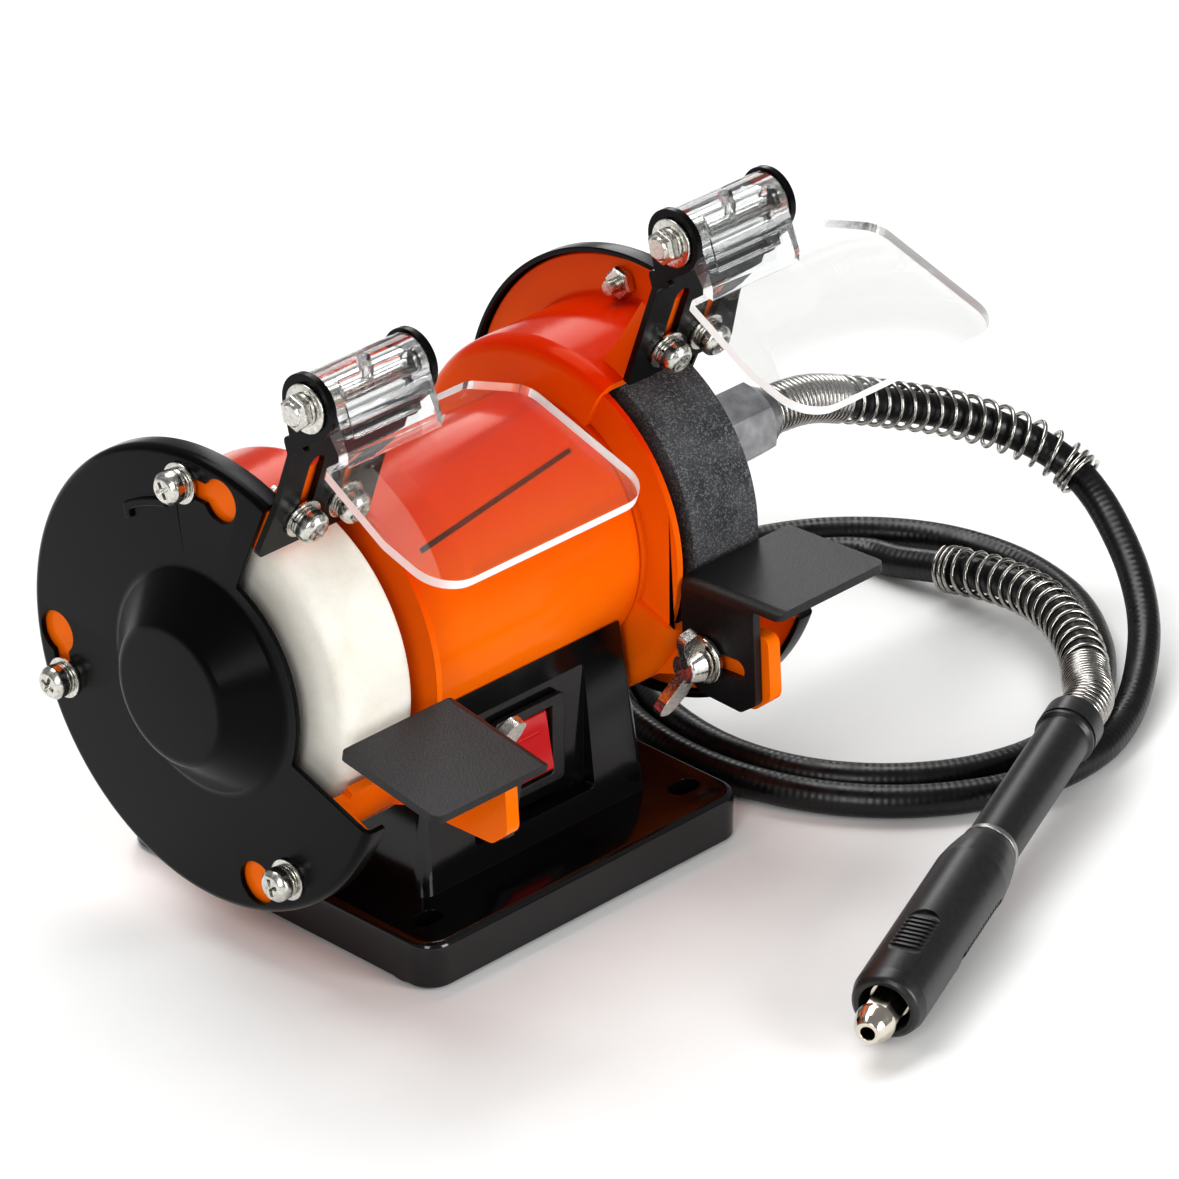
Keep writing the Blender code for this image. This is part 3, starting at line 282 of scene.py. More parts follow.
# Each finish below has one pattern, or two; a colour is a hex value or the name of a setting.
SURFACES = {
    # Black enamel on pressed sheet steel: smooth, semi-gloss, with fine dust nibs.
    "black_enamel": dict(name="black_enamelled_pressed_steel", pattern=noise(60.0, 3.0), relief=noise(900.0),
                         base_color="black_enamel", rough=(0.19, 0.27), bump=(0.08, 0.0001), IOR=1.35,
                         specular_tint="#8E8E90"),
    # Satin black powder coat on the bent steel rests: a dry, even grain about 0.5 mm across.
    "powder_coat": dict(name="satin_black_powder_coat", pattern=noise(1900.0, 3.0, Roughness=0.6),
                        tone=((0.3, "#0E0E0F"), (0.75, "#1D1D1E")), bump=(0.35, 0.0002), roughness=0.40, IOR=1.42),
    # Bright zinc plate on steel fasteners: silvery, slightly milky, with fine handling marks.
    "zinc_plate": dict(name="bright_zinc_plated_steel", pattern=noise(1300.0, 3.0), rough=(0.16, 0.30),
                       tone=((0.3, "#B9B8B2"), (0.7, "#E4E2DC")), bump=(0.10, 0.00008), metallic=1.0),
    # Drawn and nickel-flashed spring wire: silvery, with faint drawing streaks.
    "spring_steel": dict(name="bright_drawn_spring_wire", pattern=noise(800.0),
                         tone=((0.3, "#93918D"), (0.7, "#B9B6B1")), metallic=1.0, roughness=0.2),
    # Milled and turned aluminium: mid grey with fine tool rings across the spindle.
    "turned_aluminium": dict(name="turned_aluminium", pattern=noise(260.0, 3.0),
                             relief=dict(Scale=420.0, Distortion=0.6, Detail=2.0, bands="X"),
                             tone=((0.3, "#808082"), (0.7, "#A2A2A4")), bump=(0.15, 0.00006), metallic=1.0,
                             roughness=0.33),
    # Polished nickel plate on the collet nut: warm, near-mirror.
    "nickel_plate": dict(name="polished_nickel_plate", pattern=noise(500.0), base_color="#DCD5C8",
                         rough=(0.07, 0.18), metallic=1.0),
    # Ground bar steel: shaft, wheel flanges and closing plate, with fine grinding lines.
    "ground_steel": dict(name="ground_steel", pattern=dict(Scale=480.0, Distortion=2.0, Detail=3.0, bands="X"),
                         tone=((0.0, "#8E8D8B"), (1.0, "#B4B3B0")), bump=(0.12, 0.00005), metallic=1.0,
                         roughness=0.34),
    # Moulded red polycarbonate rocker: glossy, a little light passes into it.
    "red_polycarbonate": dict(name="moulded_red_polycarbonate", pattern=noise(900.0), base_color="rocker",
                              bump=(0.05, 0.0001), roughness=0.18, IOR=1.58, subsurface_weight=0.15,
                              subsurface_scale=0.002),
    # Clear moulded polycarbonate, thick: the hinge block of the eye shield, with bright edges and dark bends.
    "clear_polycarbonate": dict(name="clear_moulded_polycarbonate", pattern=noise(160.0), base_color="#F7FAFA",
                                bump=(0.12, 0.0004), roughness=0.03, IOR=1.49, alpha=0.9, transmission_weight=1.0),
    # The shield's thin sheet: water-clear, so it only veils what is behind it slightly.
    "clear_sheet": dict(name="clear_polycarbonate_sheet", pattern=noise(55.0, 1.0), base_color="#FBFDFD",
                        bump=(0.05, 0.0004), roughness=0.02, IOR=1.49, alpha=0.13, transmission_weight=1.0),
    # The shield's cut rim: the same plastic, but satin, so the light that runs inside the sheet leaves it here.
    "frosted_edge": dict(name="satin_polycarbonate_rim", pattern=noise(1400.0), base_color="#F4F6F6",
                         bump=(0.15, 0.0001), roughness=0.35, IOR=1.49, transmission_weight=0.45,
                         subsurface_weight=0.3, subsurface_scale=0.004),
    # Moulded black phenolic of the handpiece: satin, faintly mottled.
    "satin_grip": dict(name="satin_black_phenolic", pattern=noise(700.0, 4.0),
                       tone=((0.3, "#151516"), (0.75, "#222223")), bump=(0.12, 0.00015), roughness=0.34, IOR=1.55),
    # Stacked silicon steel sheets: grey, with a dark line at each joint.
    "laminations": dict(name="silicon_steel_laminations", pattern=dict(Scale=314.0, bands="X"),
                        tone=((0.1, "#2B2B2D"), (0.5, "#6F7073")), metallic=0.9, roughness=0.5),
    # Enamelled copper winding under clear varnish.
    "copper_wire": dict(name="enamelled_copper_winding", pattern=dict(Scale=225.0, Distortion=0.8, bands="Z"),
                        tone=((0.0, "#5A2A12"), (0.7, "#B8673A")), bump=(0.5, 0.0003), metallic=0.8, roughness=0.3),
    # Turned copper commutator bars, skimmed: warm, a little uneven.
    "copper_bars": dict(name="turned_copper_bars", pattern=noise(420.0, 3.0),
                        tone=((0.3, "#8A4B2C"), (0.7, "#C98458")), metallic=1.0, roughness=0.28),
    # Glass-filled black nylon of the fan, brush carrier and cord gland: matt with a faint fibre swirl.
    "glass_nylon": dict(name="glass_filled_nylon", pattern=noise(500.0, 4.0, Distortion=1.5),
                        tone=((0.3, "#1A1A1B"), (0.8, "#303032")), bump=(0.2, 0.0002), roughness=0.55),
    # Pressed carbon brush: grey-black, dry.
    "graphite": dict(name="pressed_carbon", pattern=noise(1500.0, 3.0),
                     tone=((0.3, "#1C1C1E"), (0.8, "#3A3A3D")), roughness=0.6),
    # Pad-printed black ink on the enamel: thin, satin.
    "printed_line": dict(name="pad_printed_black_ink", pattern=noise(1600.0), base_color="#150A08",
                         rough=(0.3, 0.45)),
    # Matt white paper roll under and behind the object.
    "studio_paper": dict(name="matt_studio_paper", pattern=noise(30.0),
                         tone=((0.3, "#F3F3F2"), (0.7, "#F6F6F5")), roughness=0.9),
}

MAKERS = (orange_enamel, moulded_abs, wool_felt, vitrified_stone, pvc_sheath)
FINISH = {}


# ---------------------------------------------------------------- shape tools


def polar(radius, angle):
    """A point in YZ at an angle in degrees from the front, -Y, towards up, +Z."""
    return (-radius * cos(radians(angle)), radius * sin(radians(angle)))


def leaning(along, out=0.0):
    """A point in YZ on the shield bracket's leaning plane: distance up it, and forward of it."""
    a = radians(LEAN)
    return (BRACKET_FOOT[0] - along * sin(a) - out * cos(a), BRACKET_FOOT[1] + along * cos(a) - out * sin(a))


def rounded(points, radius, steps=5):
    """Round an outline's corners; radius is one value or one for each corner."""
    out, count = [], len(points)
    for i, point in enumerate(points):
        r = radius[i] if isinstance(radius, (list, tuple)) else radius
        p = Vector(point)
        before, after = Vector(points[i - 1]) - p, Vector(points[(i + 1) % count]) - p
        half = before.angle(after) / 2
        if r <= 0 or half > pi / 2 - 0.01:
            out.append(tuple(p))
            continue
        reach = min(r / tan(half), before.length * 0.49, after.length * 0.49)
        r = reach * tan(half)
        before.normalize()
        after.normalize()
        centre = p + (before + after).normalized() * (r / sin(half))
        a0 = atan2(*(p + before * reach - centre).yx)
        a1 = atan2(*(p + after * reach - centre).yx)
        sweep = (a1 - a0 + pi) % (2 * pi) - pi
        out += [(centre.x + r * cos(a0 + sweep * k / steps), centre.y + r * sin(a0 + sweep * k / steps))
                for k in range(steps + 1)]
    return out


def tidy(bm):
    bmesh.ops.remove_doubles(bm, verts=bm.verts, dist=1e-4)
    bmesh.ops.dissolve_degenerate(bm, edges=bm.edges, dist=1e-5)
    bmesh.ops.recalc_face_normals(bm, faces=bm.faces)
    return bm


def turned(profile, sides=0, side=1, centre=(0, 0, 0), phase=0.0):
    """Turn a closed (x, radius) profile about X; side -1 mirrors it."""
    sides = sides or bpy.context.scene.grinder_sizes.turn_sides
    bm = bmesh.new()
    rows = []
    for k in range(sides):
        a = 2 * pi * k / sides + phase
        rows.append([bm.verts.new((side * x + centre[0], r * cos(a) + centre[1], r * sin(a) + centre[2]))
                     for x, r in profile])
    for k in range(sides):
        one, two = rows[k], rows[(k + 1) % sides]
        for i in range(len(profile)):
            j = (i + 1) % len(profile)
            if profile[i][1] > 1e-6 or profile[j][1] > 1e-6:
                bm.faces.new((one[i], one[j], two[j], two[i]))
    return tidy(bm)


def prism(outline, low, high, axis="X"):
    """Extrude an outline along an axis. Its plane is YZ for X, XZ for Y and XY for Z."""
    put = {"X": lambda a, b, c: (c, a, b), "Y": lambda a, b, c: (a, c, b), "Z": lambda a, b, c: (a, b, c)}[axis]
    bm = bmesh.new()
    ends = [[bm.verts.new(put(a, b, c)) for a, b in outline] for c in (low, high)]
    for i in range(len(outline)):
        j = (i + 1) % len(outline)
        bm.faces.new((ends[0][i], ends[0][j], ends[1][j], ends[1][i]))
    bm.faces.new(ends[0][::-1])
    bm.faces.new(ends[1])
    return tidy(bm)


def stacked(rings):
    """A closed shape through rings of points that have the same count."""
    bm = bmesh.new()
    rows = [[bm.verts.new(p) for p in ring] for ring in rings]
    for one, two in zip(rows, rows[1:]):
        for i in range(len(one)):
            j = (i + 1) % len(one)
            bm.faces.new((one[i], one[j], two[j], two[i]))
    bm.faces.new(rows[0][::-1])
    bm.faces.new(rows[-1])
    return tidy(bm)


def brick(low, high):
    return prism([(low[0], low[1]), (high[0], low[1]), (high[0], high[1]), (low[0], high[1])], low[2], high[2], "Z")


def rod(radius, low, high, axis="X", centre=(0, 0), sides=48):
    return prism([(centre[0] + radius * cos(2 * pi * i / sides), centre[1] + radius * sin(2 * pi * i / sides))
                  for i in range(sides)], low, high, axis)


def slab(half_x, half_y, corner, levels, middle=(0, 0)):
    """A rounded rectangular block; levels are (z, inset) pairs from the bottom up."""
    rings = []
    for z, inset in levels:
        x, y = half_x - inset, half_y - inset
        outline = rounded([(-x, -y), (x, -y), (x, y), (-x, y)], max(corner - inset, 0.3), 8)
        rings.append([(a + middle[0], b + middle[1], z) for a, b in outline])
    return stacked(rings)


def slot(x, y, long, wide, steps=10):
    reach, out = (long - wide) / 2, []
    for end, start in ((1, -90), (-1, 90)):
        for k in range(steps + 1):
            a = radians(start + 180 * k / steps)
            out.append((x + end * reach + wide / 2 * cos(a), y + wide / 2 * sin(a)))
    return out


def rotated(bm, angle, axis, centre=(0, 0, 0)):
    bmesh.ops.rotate(bm, verts=bm.verts, cent=centre, matrix=Matrix.Rotation(radians(angle), 3, axis))
    return bm


def moved(bm, by):
    bmesh.ops.translate(bm, verts=bm.verts, vec=by)
    return bm


def as_mesh(bm):
    mesh = bpy.data.meshes.new("shape")
    bm.to_mesh(mesh)
    bm.free()
    return mesh


def combined(first, *steps):
    """Join, cut or keep closed shapes one after another. steps are (UNION | DIFFERENCE | INTERSECT, shape)."""
    work = [bpy.data.objects.new("work", as_mesh(first))]
    for how, shape in steps:
        work.append(bpy.data.objects.new("tool", as_mesh(shape)))
        boolean = work[0].modifiers.new("step", "BOOLEAN")
        boolean.operation, boolean.object, boolean.solver = how, work[-1], "EXACT"
    for one in work:
        bpy.context.scene.collection.objects.link(one)
    bpy.context.view_layer.update()
    result = bpy.data.meshes.new_from_object(work[0].evaluated_get(bpy.context.evaluated_depsgraph_get()))
    for one in work:
        spare = one.data
        bpy.data.objects.remove(one)
        bpy.data.meshes.remove(spare)
    bm = bmesh.new()
    bm.from_mesh(result)
    bpy.data.meshes.remove(result)
    bmesh.ops.remove_doubles(bm, verts=bm.verts, dist=0.02)
    bmesh.ops.dissolve_degenerate(bm, edges=bm.edges, dist=0.01)
    return bm


def place(name, bm, finish, body, nodes=(), edge=0.0, sharp=35.0, steps=2, clamp=True):
    """Make the shape a piece in metres at the origin, with its finish, on its CAD body, in place of its nodes."""
    mesh = as_mesh(bm)
    mesh.transform(Matrix.Scale(MM, 4) @ Matrix.Translation((0, 0, SPINDLE)))
    mesh.name = name
    obj = bpy.data.objects.new(name, mesh)
    bpy.context.scene.collection.objects.link(obj)
    dress(obj, finish)
    mesh.shade_smooth()
    mesh.set_sharp_from_angle(angle=radians(sharp))
    if edge:
        bevel = obj.modifiers.new("rounded edges", "BEVEL")
        bevel.width, bevel.segments, bevel.limit_method = edge * MM, steps, "ANGLE"
        bevel.angle_limit, bevel.use_clamp_overlap, bevel.harden_normals = radians(sharp), clamp, True
        bevel.miter_outer = "MITER_ARC"
    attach(obj, body)
    if nodes:
        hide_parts(*nodes)
    return obj


def dress(obj, *finishes):
    obj.data.materials.clear()
    for finish in finishes:
        obj.data.materials.append(FINISH[finish])


def spans(side, a, b):
    return (min(side * a, side * b), max(side * a, side * b))


def sector(low, high, inner, outer=62.0, steps=24):
    points = [polar(inner, low + (high - low) * k / steps) for k in range(steps + 1)]
    return points + [polar(outer, high), polar(outer * 1.3, (low + high) / 2), polar(outer, low)]


def screw_frame(x, along):
    """Where a bracket screw sits, with +X of the screw pointing forward out of the leaning plane."""
    y, z = leaning(along)
    forward = Vector((0, -cos(radians(LEAN)), -sin(radians(LEAN))))
    return Vector((x, y, z)), forward.to_track_quat("X", "Z")


# ---------------------------------------------------------------- Geometry Nodes


def node_tree(name, numbers=(), objects=()):
    """A geometry tree with a Geometry input, the named inputs and a Material input."""
    tree = bpy.data.node_groups.new(name, "GeometryNodeTree")
    face = tree.interface
    face.new_socket("Geometry", in_out="INPUT", socket_type="NodeSocketGeometry")
    for label, value in numbers:
        made = face.new_socket(label, in_out="INPUT",
                               socket_type="NodeSocketInt" if isinstance(value, int) else "NodeSocketFloat")
        made.default_value = value
    for label in objects:
        face.new_socket(label, in_out="INPUT", socket_type="NodeSocketObject")
    face.new_socket("Material", in_out="INPUT", socket_type="NodeSocketMaterial")
    face.new_socket("Geometry", in_out="OUTPUT", socket_type="NodeSocketGeometry")
    return tree, add(tree, "NodeGroupInput").outputs


def end_tree(tree, geometry, given):
    whole = add(tree, "GeometryNodeRealizeInstances", {0: geometry})
    painted = add(tree, "GeometryNodeSetMaterial", {"Geometry": whole.outputs[0], "Material": given["Material"]})
    add(tree, "NodeGroupOutput", {0: painted.outputs[0]})


def grown(name, source, tree, inputs):
    """Run a tree on a source object with its inputs set by socket identifier, and keep the plain mesh."""
    modifier = source.modifiers.new(name, "NODES")
    for item in tree.interface.items_tree:
        if getattr(item, "in_out", "") == "INPUT" and item.name in inputs:
            modifier[item.identifier] = inputs[item.name]
    modifier.node_group = tree
    bpy.context.view_layer.update()
    mesh = bpy.data.meshes.new_from_object(source.evaluated_get(bpy.context.evaluated_depsgraph_get()))
    source.modifiers.remove(modifier)
    bm = bmesh.new()
    bm.from_mesh(mesh)
    bpy.data.meshes.remove(mesh)
    return bm


def scattered(name, places, pattern, finish, body, nodes, sharp=30.0):
    """Copies of a pattern at (position, rotation) places, made by instancing on points."""
    points = bpy.data.meshes.new("places")
    points.from_pydata([p for p, _ in places], [], [])
    turn = points.attributes.new("turn", "QUATERNION", "POINT")
    for item, (_, q) in zip(turn.data, places):
        item.value = q
    base = bpy.data.objects.new("places", points)
    model = bpy.data.objects.new("pattern", as_mesh(pattern))
    for one in (base, model):
        bpy.context.scene.collection.objects.link(one)
    tree, given = node_tree(name, objects=("Pattern",))
    info = add(tree, "GeometryNodeObjectInfo", {"Object": given["Pattern"]}, transform_space="ORIGINAL")
    angle = add(tree, "GeometryNodeInputNamedAttribute", {"Name": "turn"}, data_type="QUATERNION")
    spread = add(tree, "GeometryNodeInstanceOnPoints", {"Points": given["Geometry"],
                                                        "Instance": info.outputs["Geometry"],
                                                         "Rotation": angle.outputs[0]})
    end_tree(tree, spread.outputs[0], given)
    bm = grown(name, base, tree, {"Pattern": model, "Material": FINISH[finish]})
    for one in (base, model):
        bpy.data.objects.remove(one)
    return place(name, bm, finish, body, nodes, sharp=sharp)


def head_screw(end, nut=None):
    """A pan-head cross-recess screw along +X with a flat and a split washer; the flat washer starts at x = 0."""
    head = rounded([(2.0, 0), (2.0, 3.7), (4.2, 3.7), (5.4, 2.6), (5.4, 0)], [0, 0.3, 1.2, 1.0, 0], 4)
    recess = []
    for turn in (20, 110):
        blade = stacked([[(x, -w, -h), (x, w, -h), (x, w, h), (x, -w, h)]
                         for x, w, h in ((5.6, 2.1, 0.5), (3.6, 0.7, 0.3))])
        recess.append(("DIFFERENCE", rotated(blade, turn, "X")))
    split = turned(rounded([(0.85, 1.9), (0.85, 3.6), (1.95, 3.6), (1.95, 1.9)], 0.15, 2), 40)
    gap = rotated(brick((0.4, 1.0, -0.25), (2.4, 5.0, 0.25)), 18, "Y", (1.4, 2.8, 0))
    parts = [combined(turned(head, 40), *recess),
             turned([(end, 0), (end, 1.55), (2.1, 1.55), (2.1, 0)], 20),
             turned(rounded([(0.0, 1.9), (0.0, 4.6), (0.75, 4.6), (0.75, 1.9)], 0.15, 2), 40),
             combined(split, ("DIFFERENCE", rotated(gap, 130, "X")))]
    if nut is not None:
        parts.append(turned([(nut, 1.5), (nut, 3.3), (nut + 0.4, 3.75), (nut + 2.1, 3.75), (nut + 2.5, 3.3),
                             (nut + 2.5, 1.5)], 6))
        for k in range(int((nut - end) / 0.55)):
            x = end + 0.2 + 0.55 * k
            parts.append(turned([(x, 1.3), (x + 0.12, 1.72), (x + 0.28, 1.72), (x + 0.4, 1.3)], 20))
    return joined(parts)


def joined(parts):
    """Several closed shapes as one, left separate where they don't touch."""
    bm = bmesh.new()
    for part in parts:
        mesh = as_mesh(part)
        bm.from_mesh(mesh)
        bpy.data.meshes.remove(mesh)
    return bm


def fillet(top, radius, steps=6):
    """(z, inset) levels that round the upper edge of a block."""
    return [(top - radius * (1 - sin(pi / 2 * k / steps)), radius * (1 - cos(pi / 2 * k / steps)))
            for k in range(steps + 1)]


# ---------------------------------------------------------------- base and switch


def build_base(sizes):
    top, slots = FLOOR + 11.5, []
    shell = slab(47.9, 46.9, 6.0, [(FLOOR + 0.5, 0.5), (FLOOR + 1.0, 0.0)] + fillet(top, 1.7))
    for x in (-39, 39):
        for y in (-37, 37):
            slots.append(("UNION", rod(8.2, FLOOR, top - 3, "Z", (x, y))))
    hollow = combined(slab(31.9, 28.9, 2.0, [(FLOOR - 1, 0), (-8.9, 5.0)]),
                      ("DIFFERENCE", rod(32.3, -50, 50, sides=64)))
    steps = slots + [("UNION", slab(34.5, 31.5, 3.2, [(top - 1, 0), (-8.9, 5.3)])),
                     ("DIFFERENCE", rod(29.8, -50, 50, sides=160)), ("DIFFERENCE", hollow),
                     ("DIFFERENCE", brick((-45.4, -27.5, FLOOR - 1), (45.4, 27.5, top - 2.5))),
                     ("DIFFERENCE", brick((-29.5, -44.4, FLOOR - 1), (29.5, 44.4, top - 2.5)))]
    for x in (-39, 39):
        for y in (-37, 37):
            steps.append(("DIFFERENCE", prism(slot(x, y, 8.0, 5.0), FLOOR - 1, top + 1, "Z")))
    niche = rounded([(-18, FLOOR + 17.5), (18, FLOOR + 17.5), (18, FLOOR + 46.5), (-18, FLOOR + 46.5)], 1.2, 4)
    steps += [("DIFFERENCE", prism(niche, -34, -27.2, "Y")),
              ("DIFFERENCE", brick((-9.2, -30, FLOOR + 23.8), (9.2, -20, FLOOR + 41.4))),
              ("DIFFERENCE", rod(4.4, 20, 36, "Y", (-14, FLOOR + 22)))]
    place("base_moulding", combined(shell, *steps), "moulded_abs", "machine", ["base_shell"], edge=sizes.edge_round)
    ribs = [(24.0, 2.9), (24.0, 4.0), (31.8, 4.0), (31.8, 5.8), (33.6, 5.8)]
    for k in range(5):
        ribs += [(34.0 + 2 * k, 5.2 - 0.22 * k), (35.2 + 2 * k, 5.1 - 0.22 * k), (35.3 + 2 * k, 4.1 - 0.1 * k),
                 (35.9 + 2 * k, 4.1 - 0.1 * k)]
    gland = moved(rotated(turned(ribs + [(44.0, 4.0), (44.0, 2.9)], 48), 90, "Z"), (-14, 0, FLOOR + 22))
    place("cord_gland_moulding", gland, "glass_nylon", "machine", ["cord_gland"])
    plate = combined(slab(29.2, 44.1, 3.0, [(FLOOR, 0.2), (FLOOR + 0.2, 0), (FLOOR + 1.6, 0), (FLOOR + 1.8, 0.2)]),
                     *[("DIFFERENCE", rod(3.6, FLOOR - 1, FLOOR + 1.2, "Z", (x, 0))) for x in (-22, 22)],
                     *[("DIFFERENCE", rod(1.8, FLOOR - 1, FLOOR + 4, "Z", (x, 0))) for x in (-22, 22)])
    place("closing_plate", plate, "ground_steel", "machine", ["base_plate"])
    for x, word in ((-22, "left"), (22, "right")):
        head = turned([(0.1, 0), (0.1, 2.8), (0.4, 3.2), (0.9, 3.2), (0.9, 1.4), (9.0, 1.4), (9.0, 0)], 40)
        cross = [("DIFFERENCE", brick((-0.5, -a, -b), (0.55, a, b))) for a, b in ((2.0, 0.4), (0.4, 2.0))]
        screw = moved(rotated(combined(head, *cross), -90, "Y"), (x, 0, FLOOR))
        place(f"closing_plate_screw_{word}", screw, "zinc_plate", "machine", [f"base_plate_screw_{word}"])


def build_switch(sizes):
    z = FLOOR + 33
    frame_line = rounded([(-10.5, z - 10.5), (10.5, z - 10.5), (10.5, z + 10.5), (-10.5, z + 10.5)], 1.4)
    body = combined(prism(frame_line, -29.2, -27.5, "Y"),
                    ("UNION", brick((-8.8, -28, z - 8.6), (8.8, -20.5, z + 5.0))),
                    ("DIFFERENCE", brick((-6.8, -32, z - 8.2), (6.8, -22.5, z + 8.2))))
    place("switch_bezel", body, "satin_grip", "machine", ["switch_body"], edge=0.35)
    face = [(-25.2, z - 7.5), (-28.4, z - 7.5), (-30.2, z - 6.4), (-28.9, z), (-27.6, z + 7.5), (-25.2, z + 4.4),
            (-23.6, z)]
    rocker = combined(prism(rounded(face, [0.3, 0.3, 0.8, 6.0, 0.4, 1.0, 2.0], 6), -6.2, 6.2),
                      ("DIFFERENCE", prism([(-31, z + 2.4), (-28.3, z + 2.6), (-28.3, z + 3.2), (-31, z + 3.4)],
                                           -3.2, 3.2)))
    place("rocker", rocker, "red_polycarbonate", "switch_rocker", ["switch_rocker"], edge=0.3)


# ---------------------------------------------------------------- motor, castings and covers


def build_motor(sizes):
    wall = rounded([(-33.2, 28.0), (-33.2, 29.5), (33.2, 29.5), (33.2, 28.0)], [0, 0.5, 0.5, 0], 4)
    place("motor_housing", turned(wall, 160), "orange_enamel", "machine", ["motor_barrel"])
    # A plain slanting rule lies on the barrel: 2.4 degrees wide, 0.05 mm proud of it.
    strip = bmesh.new()
    across = [(x, 53.0 + 0.24 * x) for x in np.linspace(-23.5, 26, 23)]
    rows, under = ([[strip.verts.new((x, *polar(radius, a - k))) for k in (0.0, 0.8, 1.6, 2.4)] for x, a in across]
                   for radius in (29.55, 29.44))
    for skin in (rows, under):
        for one, two in zip(skin, skin[1:]):
            for i in range(3):
                strip.faces.new((one[i], one[i + 1], two[i + 1], two[i]))
    rim, low = (skin[0] + [row[-1] for row in skin[1:]] + skin[-1][-2::-1] + [row[0] for row in skin[-2:0:-1]]
                for skin in (rows, under))
    for i in range(len(rim)):
        j = (i + 1) % len(rim)
        strip.faces.new((rim[i], rim[j], low[j], low[i]))
    place("printed_rule", tidy(strip), "printed_line", "machine")


def build_guard(side, word, sizes):
    profile = rounded([(27.0, 13.2), (27.0, 15.6), (33.5, 15.6), (33.5, 25.9), (30.6, 25.9), (30.6, 27.6),
                       (33.5, 27.6), (33.5, 41.0), (63.7, 41.0), (63.7, 50.4), (65.9, 50.4), (65.9, 38.9),
                       (36.5, 38.9), (36.5, 7.0), (35.6, 7.0), (35.6, 13.2)],
                      [0, 0, 0.5, 0, 0, 0, 0.4, 4.2, 1.4, 0.6, 0.4, 0.3, 1.2, 0, 0, 0], 8)
    root = [polar(39.9, a) for a in (-47, -38, -30, -22)]
    lug = root + rounded([(-47.0, -9.0), (-62.5, -7.5), (-63.5, -22.0), (-59.0, -26.0), (-42.0, -26.5)],
                         [3, 2, 3, 3, 2], 5)
    pad = [leaning(0.6, -1.8), leaning(19.5, -1.8), leaning(19.5, -4.6), leaning(6.0, -7.5), polar(40.0, 75),
           polar(39.6, 66)]
    shape = combined(turned(profile, sizes.turn_sides, side),
                     ("DIFFERENCE", prism(sector(*OPENING, 25.0), *spans(side, 37.8, 72.0))),
                     ("DIFFERENCE", prism(sector(*OPENING, 38.5), *spans(side, 33.6, 38.0))),
                     ("DIFFERENCE", prism(sector(*OPENING, 29.6), *spans(side, 33.2, 35.2))),
                     ("DIFFERENCE", prism(sector(OPENING[0] - 2.5, OPENING[1], 38.0), *spans(side, 61.5, 72.0))),
                     ("UNION", prism(lug, *spans(side, 37.8, 41.3))), ("UNION", prism(pad, *spans(side, 40.5, 61.9))),
                     ("DIFFERENCE", rod(2.2, *spans(side, 37, 42), "X", REST_PIVOT)))
    place(f"{word}_guard_casting", shape, "orange_enamel", "machine", [f"{word}_guard"], edge=sizes.edge_round)


def keyhole(angle, towards):
    """A round hole with a narrow slot that runs along the screw circle."""
    round_r, slot_r = 4.8, 2.3
    centre, end = Vector(polar(SCREW_CIRCLE, angle)), Vector(polar(SCREW_CIRCLE, towards))
    along = (end - centre).normalized()
    across = Vector((-along.y, along.x))
    start, points = asin(slot_r / round_r), []
    for k in range(37):
        a = start + (2 * pi - 2 * start) * k / 36
        points.append(tuple(centre + along * (round_r * cos(a)) + across * (round_r * sin(a))))
    for k in range(17):
        a = -pi / 2 + pi * k / 16
        points.append(tuple(end + along * (slot_r * cos(a)) + across * (slot_r * sin(a))))
    return points


def build_cover(side, word, sizes):
    bore = 0.0 if side < 0 else 6.4
    profile = rounded([(62.2, 52.0), (67.4, 52.0), (67.4, 25.2), (76.7, 15.4), (76.7, bore), (75.5, bore),
                       (75.5, 14.6), (66.2, 24.3), (66.2, 50.8), (62.2, 50.8)],
                      [0.3, 1.9, 3.0, 3.2, 0 if side < 0 else 0.4, 0, 2.4, 2.4, 0.9, 0.3], 8)
    low, high = spans(side, 61.0, 69.0)
    steps = [("DIFFERENCE", prism(sector(OPENING[0] + 0.4, 67.0, 28.4, 60), low, high))]
    steps += [("DIFFERENCE", prism(keyhole(a, b), low, high)) for a, b in zip(KEYHOLE_ANGLES, SCREW_ANGLES)]
    band = [polar(40.6, a) for a in range(103, 125, 2)] + [polar(37.0, 125), polar(37.0, 121.5), polar(38.6, 121)]
    band += [polar(38.6, a) for a in range(119, 101, -2)]
    rib = prism(band, *spans(side, 66.9, 68.3))
    shell = combined(turned(profile, 160, side), *steps)
    place(f"{word}_wheel_cover", shell, "black_enamel", "machine", [f"{word}_cover"], edge=0.25, clamp=False)
    place(f"{word}_cover_rib", rib, "black_enamel", "machine", [], edge=0.5)


def build_fasteners(sizes):
    places, names = [], []
    for side, word in SIDES:
        for i, angle in enumerate(SCREW_ANGLES):
            face = Quaternion((1, 0, 0), radians(37 * i + 11))
            turn = (Quaternion((0, 0, 1), pi) if side < 0 else Quaternion()) @ face
            places.append((Vector((side * 67.4, *polar(SCREW_CIRCLE, angle))), turn))
            names.append(f"{word}_cover_screw_{i + 1}")
    scattered("cover_screws", places, head_screw(-9.4, -6.6), "zinc_plate", "machine", names)
    places, names = [], []
    for side, word in SIDES:
        for i, x in enumerate((47.5, 59.5)):
            spot, turn = screw_frame(side * x, 7.0)
            places.append((spot, turn @ Quaternion((1, 0, 0), radians(50 * i + 20 * side))))
            names.append(f"{word}_bracket_screw_{i + 1}")
    scattered("bracket_screws", places, head_screw(-9.0), "zinc_plate", "machine", names)


# ---------------------------------------------------------------- wheels


